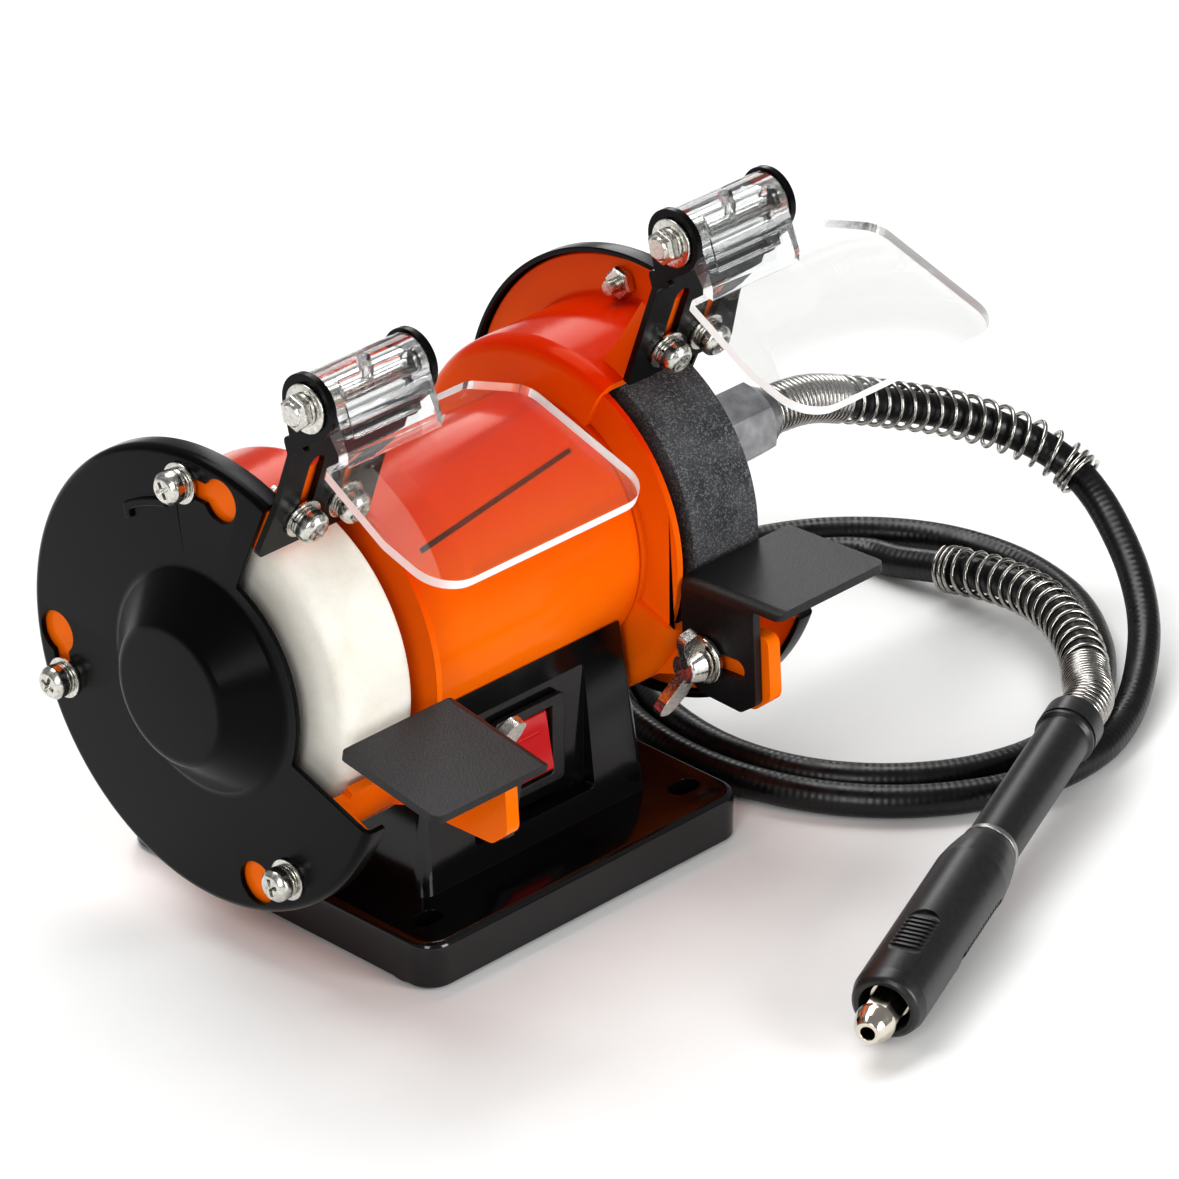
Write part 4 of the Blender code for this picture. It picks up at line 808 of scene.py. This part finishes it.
def build_wheels(sizes):
    r, a, b = 37.5, 41.5, 61.5
    half = [(0, 5.0), (38.3, 5.0), (38.3, 15.0), (41.2, 15.0), (41.2, 5.0), (62.0, 5.0)]
    for k in range(13):
        half += [(62.2 + 0.88 * k, 4.6), (62.6 + 0.88 * k, 5.0)]
    half += [(73.3, 5.0), (73.6, 4.7), (73.6, 0)]
    shaft = [(-x, q) for x, q in half[::-1] if x > 0] + half[1:]
    place("arbor", turned(shaft, 48), "ground_steel", "rotor", ["arbor_shaft"])
    felt = rounded([(a, 5.4), (a, r), (b, r), (b, 5.4)], [0.6, sizes.felt_round, sizes.felt_round, 0.6], 8)
    place("felt_disc", turned(felt, 160, -1), "wool_felt", "rotor", ["felt_wheel"])
    stone = rounded([(a, 5.4), (a, r), (b, r), (b, 15.6), (b - 0.5, 15.0), (b - 0.5, 5.4)], [0, 0.5, 0.5, 0, 0, 0], 3)
    place("abrasive_disc", turned(stone, 160), "vitrified_stone", "rotor", ["grinding_wheel"])
    for side, word in SIDES:
        flange = rounded([(b + 0.05, 5.4), (b + 0.05, 15.0), (b + 2.8, 14.0), (b + 2.8, 5.4)], [0, 0.4, 0.6, 0.3], 4)
        place(f"{word}_clamp_flange", turned(flange, 96, side), "ground_steel", "rotor", [f"{word}_outer_flange"])
        nut = combined(turned([(b + 3.1, 5.2), (b + 3.1, 8.7), (b + 9.1, 8.7), (b + 9.1, 5.2)], 6, side),
                       ("INTERSECT", turned([(b + 3.0, 4.9), (b + 3.0, 7.6), (b + 3.9, 8.8), (b + 8.3, 8.8),
                                             (b + 9.2, 7.6), (b + 9.2, 4.9)],
                                            64, side)))
        place(f"{word}_hex_nut", nut, "zinc_plate", "rotor", [f"{word}_arbor_nut"], edge=0.15)


# ---------------------------------------------------------------- tool rests


def build_rest(side, word, sizes):
    py, pz = REST_PIVOT
    tilt = -9.6 if side < 0 else 3.0
    bent = rounded([(35.5, -30), (35.5, 0), (69.0, 0), (69.0, -2), (37.5, -2), (37.5, -30)],
                   [0, 3.0, 0, 0, 1.0, 0], 7)
    plan = rounded([(35.0, -39.9), (69.0, -40.0), (69.0, -68.5), (35.5, -68.5)], [0, 1.4, 2.2, 2.2])
    fall = rounded([(-70, 1), (-39.8, 1), (-40.0, -22.0), (-44.5, -26.0), (-56.5, -27.0), (-61.0, -24.0),
                    (-61.0, -2.0), (-70, -2.0)],
                   [0, 0, 2, 2, 2, 2, 0, 0])
    flip = lambda line: [(side * x, z) for x, z in line]
    shape = combined(prism(flip(bent), -69.0, -39.0, "Y"), ("INTERSECT", prism(flip(plan), -40, 2, "Z")),
                     ("INTERSECT", prism(fall, *spans(side, 30, 75))),
                     ("DIFFERENCE", prism(slot(-49.0, pz, 18.0, 4.6), *spans(side, 34, 39))))
    rotated(shape, -tilt, "X", (0, py, pz))
    place(f"{word}_rest_plate", shape, "powder_coat", f"{word}_rest", [f"{word}_tool_rest"], edge=0.5)
    washer = rounded([(33.7, 2.3), (33.7, 5.4), (34.9, 5.4), (34.9, 2.3)], 0.25, 3)
    place(f"{word}_rest_ring", turned(washer, 48, side, (0, py, pz)), "zinc_plate", f"{word}_rest_pivot",
          [f"{word}_rest_washer"])
    hub = rounded([(41.2, 0), (41.2, 1.9), (33.4, 1.9), (33.4, 4.2), (31.6, 4.2), (28.0, 3.2), (28.0, 0)],
                  [0, 0.3, 0, 0.5, 1.0, 0.8, 0], 5)
    steps = []
    for lean in (20, 200):
        wing = rounded([(32.8, 1.0), (31.0, 8.0), (27.2, 12.2), (23.4, 11.0), (24.4, 7.8), (28.4, 1.0)],
                       [0, 3, 2, 1.5, 2, 0], 6)
        steps.append(("UNION", moved(rotated(prism(flip(wing), -1.2, 1.2, "Y"), lean, "X"), (0, py, pz))))
    place(f"{word}_wing_screw", combined(turned(hub, 64, side, (0, py, pz)), *steps), "zinc_plate",
          f"{word}_wing_bolt", [f"{word}_wing_bolt"], edge=0.5, steps=3)


# ---------------------------------------------------------------- eye shields


def on_bracket(bm):
    """Lay a shape drawn as (x, distance up the leaning plane, distance forward of it) on that plane."""
    for vert in bm.verts:
        vert.co = (vert.co.x, *leaning(vert.co.y, vert.co.z))
    return tidy(bm)


def build_bracket(side, word, sizes):
    a, b = spans(side, 38.0, 68.0)
    wide = [(38.0, 0.0), (70.2, 0.0), (68.0, 14.0), (68.0, 31.5), (38.0, 31.5)]
    plate = prism(rounded([(side * x, v) for x, v in wide], [1.5, 1.5, 6, 0, 0]), -1.5, 0.0, "Z")
    head = [(41.0 + 7.2 * sin(radians(t)), 7.2 * cos(radians(t))) for t in range(-30, 211, 8)]
    ear = head + rounded([(31.0, -4.6), (27.0, -1.5), (26.0, -1.5), (26.0, 0.0), (28.0, 0.0), (31.5, 4.6)],
                         [3, 1, 0, 0, 2, 3], 4)
    steps = [("UNION", prism(ear, x, x + 1.5)) for x in (a, b - 1.5)]
    steps.append(("DIFFERENCE", rod(2.3, a - 1, b + 1, "X", (41.0, 0.0))))
    for x in (47.5, 59.5):
        steps.append(("DIFFERENCE", prism([(q, p) for p, q in slot(14.0, side * x, 20.0, 4.2)], -4, 4, "Z")))
    place(f"{word}_shield_fork", on_bracket(combined(plate, *steps)), "black_enamel", f"{word}_bracket",
          [f"{word}_shield_bracket"], edge=0.4)
    middle = side * 53.0
    rod_line = [(-20.0, 0), (-20.0, 2.2), (-19.6, 2.6), (-19.2, 2.6), (-19.2, 1.9), (16.9, 1.9), (16.9, 0)]
    hexagon = turned([(-19.4, 0), (-19.4, 3.2), (-18.9, 3.9), (-17.2, 3.9), (-16.7, 3.5), (-16.7, 0)], 6, 1,
                     phase=0.3)
    washers = [turned(rounded([(-16.6, 1.9), (-16.6, 3.6), (-16.0, 3.6), (-16.0, 1.9)], 0.15, 2), 40),
               turned(rounded([(-15.9, 1.9), (-15.9, 5.4), (-15.1, 5.4), (-15.1, 1.9)], 0.15, 2), 48)]
    bolt = moved(joined([combined(turned(rod_line, 32), ("UNION", hexagon))] + washers), (middle, *HINGE))
    place(f"{word}_hinge_bolt", bolt, "zinc_plate", f"{word}_bracket", [f"{word}_shield_bolt"], edge=0.12)


def build_shield(side, word, sizes):
    y, z = HINGE
    middle = side * 53.0
    across = (middle - 13.2, middle + 13.2)
    arm = rounded([(y - 3.2, z + 0.5), (y - 6.3, z + 1.0), (y - 9.8, z - 8.2), (y - 9.8, z - 12.2),
                   (y - 7.0, z - 12.2), (y - 7.0, z - 9.0), (y - 3.6, z - 4.2)], [0, 1.2, 1.5, 0, 0, 1.0, 1.0], 4)
    outline = rounded([(-17.5, -7.4), (-22.0, -30.0), (-22.0, -47.4), (38.5, -47.4), (38.5, -9.5), (28.0, -2.0),
                       (16.5, -2.0), (16.5, -7.4)], [1, 10, 9, 8, 7, 5, 1, 0], 10)
    sheet = prism([(middle + p, q) for p, q in outline], -2.2, 0.0, "Z")
    moved(rotated(sheet, 17, "X", (0, -7.4, 0)), (0, y, z - 10.2))
    face = rounded([(y - 6.4, z + 2.2), (y - 9.3, z - 5.6), (y - 4.6, z - 7.2), (y - 2.0, z - 2.0)],
                   [0.8, 0.8, 1.0, 0], 4)
    shape = combined(turned([(-13.2, 2.5), (-13.2, 6.5), (13.2, 6.5), (13.2, 2.5)], 64, 1, (middle, y, z)),
                     ("UNION", prism(arm, *across)), ("UNION", sheet),
                     ("UNION", prism(face, across[0] + 2.6, across[1] - 5.0)),
                     ("DIFFERENCE", brick((across[0] + 3.4, y - 6.9, z + 1.6), (across[1] - 3.4, y - 3.4, z + 8.0))),
                     ("DIFFERENCE", rod(1.6, z, z + 8, "Z", (middle, y - 0.6))),
                     ("DIFFERENCE", rod(2.5, middle - 15, middle + 15, "X", HINGE)))
    shield = place(f"{word}_eye_shield", shape, "clear_polycarbonate", f"{word}_shield", [f"{word}_shield"],
                   edge=0.35)
    dress(shield, "clear_polycarbonate", "clear_sheet", "frosted_edge")
    tilt = radians(17)
    up = Vector((0, sin(tilt) * -1, cos(tilt)))
    for face in shield.data.polygons:
        centre = face.center / MM - Vector((0, 0, SPINDLE))
        on_sheet = centre.y < y - 9.9 or centre.z < z - 13.0
        if on_sheet:
            face.material_index = 1 if abs(face.normal.dot(up)) > 0.5 else 2


# ---------------------------------------------------------------- flexible shaft


def sheath_route():
    """Centre line of the sheath about the spindle: droop, two laps on the floor, rise to the handpiece."""
    route = [(COUPLING_END + 0.3, 0, 0), (116, 0, -1.4), (130, -0.5, -6.4), (145, -2, -12.8), (158.5, -5, -18.6),
             (170, -10, -24.6), (177, -16, -29.4), (180.4, -23, -33.8), (180.2, -31, -38.3), (176.6, -41, -43.2),
             (171.6, -50.5, -48.2), (164, -60, -53.4), (153, -68.8, -57.8), (139.5, -76.5, -61), (124, -81.6, -61.8)]
    outer = ((-103, 66), (-118, 65.6), (-134, 64.8), (-150, 63.6), (-167, 62.2), (175, 61), (155, 60.4), (130, 60),
             (105, 60), (80, 60), (55, 60), (30, 59.5), (8, 57.5), (-14, 54.5), (-36, 52), (-58, 52.2), (-80, 54.6))
    inner = ((-98, 56), (-116, 56), (-134, 55.4), (-151, 54.8), (-168, 53.8), (174, 52.6), (155, 52), (130, 51.6),
             (105, 51.6), (82, 51.2), (60, 50.6), (43, 49.4))
    for angle, radius in outer + inner:
        a = radians(angle)
        route.append((LOOP_CENTRE[0] + radius * cos(a), LOOP_CENTRE[1] + radius * sin(a), -61.8))
    route += [(157, 7.5, -60.8), (158.8, -4.5, -58.6), (159, -17, -56.2), (157.2, -29.5, -54), (152.8, -42, -52.2),
              (146, -54, -51), (137.4, -65.2, -50.2), (129.3, -73.2, -49.8)]
    back = (HAND_START - HAND_TIP).normalized()
    return [Vector(p) for p in route] + [HAND_START + back * 9.0, HAND_START + back * 0.3]


def smooth_route(spacing):
    """Even points along a smooth curve through the route, with the same curve rule as the CAD."""
    pts = sheath_route()
    pts = [pts[0] - Vector((9, 0, 0))] + pts + [pts[-1] + (HAND_TIP - HAND_START).normalized() * 9]
    fine = []
    for i in range(1, len(pts) - 2):
        p0, p1, p2, p3 = pts[i - 1:i + 3]
        t0, t1 = 0.0, sqrt((p1 - p0).length)
        t2 = t1 + sqrt((p2 - p1).length)
        t3 = t2 + sqrt((p3 - p2).length)
        m1 = ((p1 - p0) / t1 - (p2 - p0) / t2 + (p2 - p1) / (t2 - t1)) * (t2 - t1)
        m2 = ((p2 - p1) / (t2 - t1) - (p3 - p1) / (t3 - t1) + (p3 - p2) / (t3 - t2)) * (t2 - t1)
        for k in range(12):
            s = k / 12
            fine.append(p1 * (2 * s**3 - 3 * s**2 + 1) + m1 * (s**3 - 2 * s**2 + s) + p2 * (3 * s**2 - 2 * s**3)
                        + m2 * (s**3 - s**2))
    fine.append(pts[-2])
    run = np.concatenate([[0], np.cumsum([(b - a).length for a, b in zip(fine, fine[1:])])])
    even = np.linspace(0, run[-1], max(2, round(run[-1] / spacing) + 1))
    flat = np.array([tuple(p) for p in fine])
    return [Vector([np.interp(u, run, flat[:, i]) for i in range(3)]) for u in even]


def frames_along(points):
    """(point, direction, two cross directions) at each point, carried along without twist."""
    frames, side = [], Vector((0, 0, 1))
    for i, point in enumerate(points):
        ahead = (points[min(i + 1, len(points) - 1)] - points[max(i - 1, 0)]).normalized()
        side = (side - ahead * side.dot(ahead)).normalized()
        frames.append((point, ahead, side, ahead.cross(side)))
    return frames


def spring_tree():
    """A helix round the source line: each point is pushed out along the carried normal, turned by its own angle."""
    tree, given = node_tree("spring_winding", [("Radius", 5.0), ("Wire", 1.1)])
    curve = add(tree, "GeometryNodeMeshToCurve", {0: given["Geometry"]})
    normal = add(tree, "GeometryNodeInputNamedAttribute", {"Name": "out"}, data_type="FLOAT_VECTOR")
    push = add(tree, "ShaderNodeVectorMath", {0: normal.outputs[0], "Scale": given["Radius"]}, operation="SCALE")
    coil = add(tree, "GeometryNodeSetPosition", {"Geometry": curve.outputs[0], "Offset": push.outputs[0]})
    half = add(tree, "ShaderNodeMath", {0: given["Wire"], 1: 0.5}, operation="MULTIPLY")
    ring = add(tree, "GeometryNodeCurvePrimitiveCircle", {"Resolution": 10, "Radius": half.outputs[0]})
    wire = add(tree, "GeometryNodeCurveToMesh", {"Curve": coil.outputs[0], "Profile Curve": ring.outputs[0],
                                                 "Fill Caps": True})
    end_tree(tree, wire.outputs[0], given)
    return tree


CLOSE_RUN, END_RUN = 24.0, 4.2
CLOSE_PITCH, OPEN_PITCH, END_PITCH = 1.3, 4.3, 1.5
TURN_STEPS = 28


def build_spring(tree, name, points, node, sizes):
    """Close turns at the start, then open turns, then a few close turns at the far end."""
    frames = frames_along(points)
    step = (points[1] - points[0]).length
    length = step * (len(points) - 1)
    line, out, s, angle = [], [], 0.0, 0.0
    while s < length:
        at = s / step
        low = min(int(at), len(points) - 2)
        p = frames[low][0].lerp(frames[low + 1][0], at - low)
        u = frames[low][2].lerp(frames[low + 1][2], at - low).normalized()
        v = frames[low][1].lerp(frames[low + 1][1], at - low).normalized().cross(u)
        line.append(p)
        out.append(u * cos(angle) + v * sin(angle))
        angle += 2 * pi / TURN_STEPS
        pitch = CLOSE_PITCH if s < CLOSE_RUN else END_PITCH if s > length - END_RUN else OPEN_PITCH
        s += pitch / TURN_STEPS
    mesh = bpy.data.meshes.new("line")
    mesh.from_pydata(line, [(i, i + 1) for i in range(len(line) - 1)], [])
    pushed = mesh.attributes.new("out", "FLOAT_VECTOR", "POINT")
    for item, value in zip(pushed.data, out):
        item.vector = value
    source = bpy.data.objects.new("line", mesh)
    bpy.context.scene.collection.objects.link(source)
    bm = grown(name, source, tree, {"Radius": sizes.spring_radius - sizes.spring_wire / 2, "Wire": sizes.spring_wire,
                                    "Material": FINISH["spring_steel"]})
    bpy.data.objects.remove(source)
    return place(name, bm, "spring_steel", "machine", [node], sharp=70)


def build_shaft(sizes):
    ends = turned(rounded([(74.0, 0), (74.0, 6.0), (103.0, 6.2), (103.0, 0)], [0, 0.5, 0.8, 0], 4), 64)
    hexagon = combined(turned([(77.0, 0), (77.0, 9.1), (98.5, 9.1), (98.5, 0)], 6, phase=0.35),
                       ("INTERSECT", turned([(76.9, 0), (76.9, 8.0), (77.8, 9.2), (97.7, 9.2), (98.6, 8.0),
                                             (98.6, 0)], 96)))
    collar = turned(rounded([(98.4, 0), (98.4, 7.4), (100.5, 7.4), (100.5, 0)], [0, 0.4, 0.6, 0], 4), 64)
    place("hex_coupling", combined(ends, ("UNION", hexagon), ("UNION", collar)), "turned_aluminium", "machine",
          ["drive_coupling"], edge=0.2)
    points = smooth_route(1.5)
    radius, around = sizes.sheath_diameter / 2, 24
    bm = bmesh.new()
    layer = bm.loops.layers.uv.new("UVMap")
    rows = []
    for point, _, u, v in frames_along(points):
        rows.append([bm.verts.new(point + (u * cos(2 * pi * k / around) + v * sin(2 * pi * k / around)) * radius)
                     for k in range(around)])
    for i in range(len(rows) - 1):
        for k in range(around):
            j = (k + 1) % around
            face = bm.faces.new((rows[i][k], rows[i][j], rows[i + 1][j], rows[i + 1][k]))
            for loop, (along, round_at) in zip(face.loops, ((i, k), (i, k + 1), (i + 1, k + 1), (i + 1, k))):
                loop[layer].uv = (along * 0.0015, round_at / around)
    bm.faces.new(rows[0][::-1])
    bm.faces.new(rows[-1])
    bmesh.ops.recalc_face_normals(bm, faces=bm.faces)
    sheath = place("flexible_sheath", bm, "pvc_sheath", "machine", ["shaft_sheath"])
    tree = spring_tree()
    coils = smooth_route(3.0)
    springs = [build_spring(tree, "spring_at_machine", coils[0:33], "machine_spring", sizes),
               build_spring(tree, "spring_at_handpiece", coils[::-1][0:33], "handpiece_spring", sizes)]


def build_handpiece(sizes):
    along = (HAND_TIP - HAND_START).normalized()
    facing = along.to_track_quat("X", "Z").to_matrix()

    def lay(bm):
        bmesh.ops.rotate(bm, verts=bm.verts, cent=(0, 0, 0), matrix=facing)
        return moved(bm, HAND_START)

    tube = rounded([(0, 0), (0, 6.8), (7.6, 6.8), (8.6, 6.0), (54.0, 6.0), (54.0, 0)], [0, 0.9, 0.5, 0.4, 0.3, 0], 5)
    groove = turned([(6.0, 6.45), (6.0, 8), (6.9, 8), (6.9, 6.45)], 64)
    place("handle_tube", lay(combined(turned(tube, 96), ("DIFFERENCE", groove))), "satin_grip", "machine",
          ["handpiece_tube"])
    ring = rounded([(54.0, 0), (54.0, 6.35), (55.7, 6.5), (55.7, 0)], [0, 0.3, 0.3, 0], 4)
    place("handle_ring", lay(turned(ring, 96)), "ground_steel", "machine")
    body = [(55.9, 0), (55.9, 6.4), (58.5, 7.0), (62.5, 7.7), (67.0, 8.2), (115.0, 8.2), (117.6, 7.5), (118.4, 6.6),
            (118.4, 5.6),
            (109.0, 5.6), (109.0, 0)]
    steps = []
    for turn, low, high in ((0, 92.0, 108.0), (122, 68.0, 94.0), (-122, 68.0, 94.0)):
        panel = rounded([(low, -3.6), (high, -3.6), (high, 3.6), (low, 3.6)], [3.4, 2.0, 2.0, 3.4], 8)
        pocket = prism(panel, 7.35, 10.0, "Z")
        ribs = [("DIFFERENCE", brick((low + 2.4 + 1.5 * k, -5, 7.0), (low + 3.1 + 1.5 * k, 5, 7.9)))
                for k in range(int((high - low - 3.6) / 1.5))]
        steps.append(("DIFFERENCE", rotated(combined(pocket, *ribs), turn, "X")))
    grip = combined(turned(rounded(body, [0, 0.4, 2, 3, 3, 1.5, 1.5, 0.6, 0.3, 0, 0], 5), 128), *steps)
    place("handle_grip", lay(grip), "satin_grip", "machine", ["handpiece_grip"], edge=0.15)
    nose = [(109.3, 0), (109.3, 4.4), (124.0, 4.4), (126.4, 3.6), (128.0, 2.6), (128.0, 1.6), (116.0, 1.6),
            (116.0, 0)]
    flats = [("DIFFERENCE", rotated(brick((115.0, -6, 3.75), (123.0, 6, 6)), 60 * k, "X")) for k in range(6)]
    nut = combined(turned(rounded(nose, [0, 0.4, 1.2, 1.0, 0.4, 0.2, 0, 0], 4), 96), *flats)
    place("collet_cap", lay(nut), "nickel_plate", "collet", ["collet_nut"], edge=0.12)


# ---------------------------------------------------------------- studio


FLOOR_WIDTH, FLOOR_NEAR = 10.0, -4.0  # metres, along the view
BEND_START, BEND_RADIUS, ROLL_TOP = 3.4, 0.8, 3.4
PHOTO_ANGLE = -44
LAMP_TARGET = Vector((0.03, -0.02, 0.05))
# name, place in metres, width, height, watts
LAMPS = (("overhead", (0.1, 0.5, 1.25), 1.5, 0.6, 13.0), ("key", (-1.15, -0.75, 0.75), 0.45, 0.9, 7.0),
         ("fill", (0.35, -1.45, 0.5), 0.6, 0.8, 12.0), ("rim", (0.9, 0.9, 0.7), 0.22, 0.9, 2.0))
ROOM_LIGHT = 0.25
LENS, SENSOR = 249.6, 36.0
CAMERA_PLACE, CAMERA_TARGET = Vector((-1.0722, -1.0946, 0.8888)), Vector((0.0224, -0.0248, 0.0617))


def build_stage(sizes):
    scene = bpy.context.scene
    bm = bmesh.new()
    bend = [(BEND_START + BEND_RADIUS * sin(a), BEND_RADIUS - BEND_RADIUS * cos(a))
            for a in np.linspace(0, pi / 2, 13)[1:]]
    line = [(FLOOR_NEAR, 0.0), (BEND_START, 0.0)] + bend + [(BEND_START + BEND_RADIUS, ROLL_TOP)]
    rows = [[bm.verts.new((x, y, z - 0.0002)) for x in (-FLOOR_WIDTH / 2, FLOOR_WIDTH / 2)] for y, z in line]
    for one, two in zip(rows, rows[1:]):
        bm.faces.new((one[0], one[1], two[1], two[0]))
    bmesh.ops.rotate(bm, verts=bm.verts, cent=(0, 0, 0), matrix=Matrix.Rotation(radians(PHOTO_ANGLE), 3, "Z"))
    mesh = bpy.data.meshes.new("paper_roll")
    bm.to_mesh(mesh)
    bm.free()
    mesh.shade_smooth()
    roll = bpy.data.objects.new("paper_roll", mesh)
    scene.collection.objects.link(roll)
    dress(roll, "studio_paper")
    for name, spot, wide, tall, power in LAMPS:
        light = bpy.data.lights.new(name, "AREA")
        light.shape, light.size, light.size_y, light.energy = "RECTANGLE", wide, tall, power
        lamp = bpy.data.objects.new(name, light)
        lamp.location = spot
        lamp.rotation_euler = (LAMP_TARGET - Vector(spot)).to_track_quat("-Z", "Y").to_euler()
        scene.collection.objects.link(lamp)
    world = bpy.data.worlds.new("grey_room")
    world.use_nodes = True
    world.node_tree.nodes["Background"].inputs[0].default_value = (1.0, 1.0, 1.0, 1.0)
    world.node_tree.nodes["Background"].inputs[1].default_value = ROOM_LIGHT
    scene.world = world
    camera = bpy.data.objects.new("camera", bpy.data.cameras.new("camera"))
    camera.data.lens, camera.data.sensor_width = LENS, SENSOR
    camera.data.clip_start, camera.data.clip_end = 0.05, 20.0
    camera.location = CAMERA_PLACE
    camera.rotation_euler = (CAMERA_TARGET - CAMERA_PLACE).to_track_quat("-Z", "Y").to_euler()
    scene.collection.objects.link(camera)
    scene.camera = camera
    scene.view_settings.view_transform = "Standard"
    scene.view_settings.look = "Medium High Contrast"


# ---------------------------------------------------------------- add-on


# The parts inside that keep their packed shape, and their finishes.
CARRIED = {"laminations": ("stator_core", "armature_core"),
           "copper_wire": ("field_coil_front", "field_coil_rear", "armature_winding"),
           "copper_bars": ("commutator",), "glass_nylon": ("brush_ring", "cooling_fan"),
           "graphite": ("brush_front", "brush_rear"), "ground_steel": ("bearing_left", "bearing_right")}


def build_materials(sizes):
    colours = bpy.context.scene.grinder_colours
    for maker in MAKERS:
        FINISH[maker.__name__] = maker(colours)
    for name, values in SURFACES.items():
        FINISH[name] = surface(colours, **values)
    for name, nodes in CARRIED.items():
        for node in nodes:
            for material_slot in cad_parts[node].material_slots:
                material_slot.material = FINISH[name]


def both(builder):
    def run(sizes):
        for side, word in SIDES:
            builder(side, word, sizes)
    return run


def operator(name, label, words, builder):
    """An operator class that runs one builder."""
    def execute(self, context):
        builder(context.scene.grinder_sizes)
        return {"FINISHED"}
    return type(f"GRINDER_OT_{name}", (bpy.types.Operator,),
                {"bl_idname": f"grinder.{name}", "bl_label": label, "bl_options": {"REGISTER", "UNDO"},
                 "__doc__": words,
                 "execute": execute})


STEPS = (
    operator("materials", "Materials", "Make every finish and give the carried-over parts theirs", build_materials),
    operator("base", "Base", "Build the base moulding, closing plate and cord gland", build_base),
    operator("switch", "Switch", "Build the rocker switch", build_switch),
    operator("motor", "Motor housing", "Build the motor's barrel and its printed rule", build_motor),
    operator("guards", "Guards", "Build both wheel guard castings", both(build_guard)),
    operator("covers", "Covers", "Build both pressed wheel covers", both(build_cover)),
    operator("fasteners", "Fasteners", "Scatter the cover screws and bracket screws", build_fasteners),
    operator("wheels", "Wheels", "Build the arbor, both wheels, flanges and nuts", build_wheels),
    operator("rests", "Tool rests", "Build both tool rests, washers and wing screws", both(build_rest)),
    operator("brackets", "Shield brackets", "Build both forked brackets and hinge bolts", both(build_bracket)),
    operator("shields", "Eye shields", "Build both clear eye shields", both(build_shield)),
    operator("shaft", "Flexible shaft", "Build the coupling, sheath and springs", build_shaft),
    operator("handpiece", "Handpiece", "Build the handpiece and its collet nut", build_handpiece),
    operator("stage", "Studio", "Build the paper roll, lights and camera", build_stage),
)


class GRINDER_PT_panel(bpy.types.Panel):
    """Lists the build steps and the settings."""

    bl_label = "Bench grinder"
    bl_space_type = "VIEW_3D"
    bl_region_type = "UI"
    bl_category = "Grinder"

    def draw(self, context):
        for group in (context.scene.grinder_sizes, context.scene.grinder_colours):
            for name in group.__annotations__:
                self.layout.prop(group, name)
        for step in STEPS:
            self.layout.operator(step.bl_idname)


CLASSES = (GrinderSizes, GrinderColours, *STEPS, GRINDER_PT_panel)


def register():
    for cls in CLASSES:
        bpy.utils.register_class(cls)
    bpy.types.Scene.grinder_sizes = PointerProperty(type=GrinderSizes)
    bpy.types.Scene.grinder_colours = PointerProperty(type=GrinderColours)


def unregister():
    del bpy.types.Scene.grinder_colours
    del bpy.types.Scene.grinder_sizes
    for cls in reversed(CLASSES):
        bpy.utils.unregister_class(cls)


def main():
    register()
    for step in STEPS:
        getattr(bpy.ops.grinder, step.bl_idname.split(".")[1])()


if __name__ == "__main__":
    main()
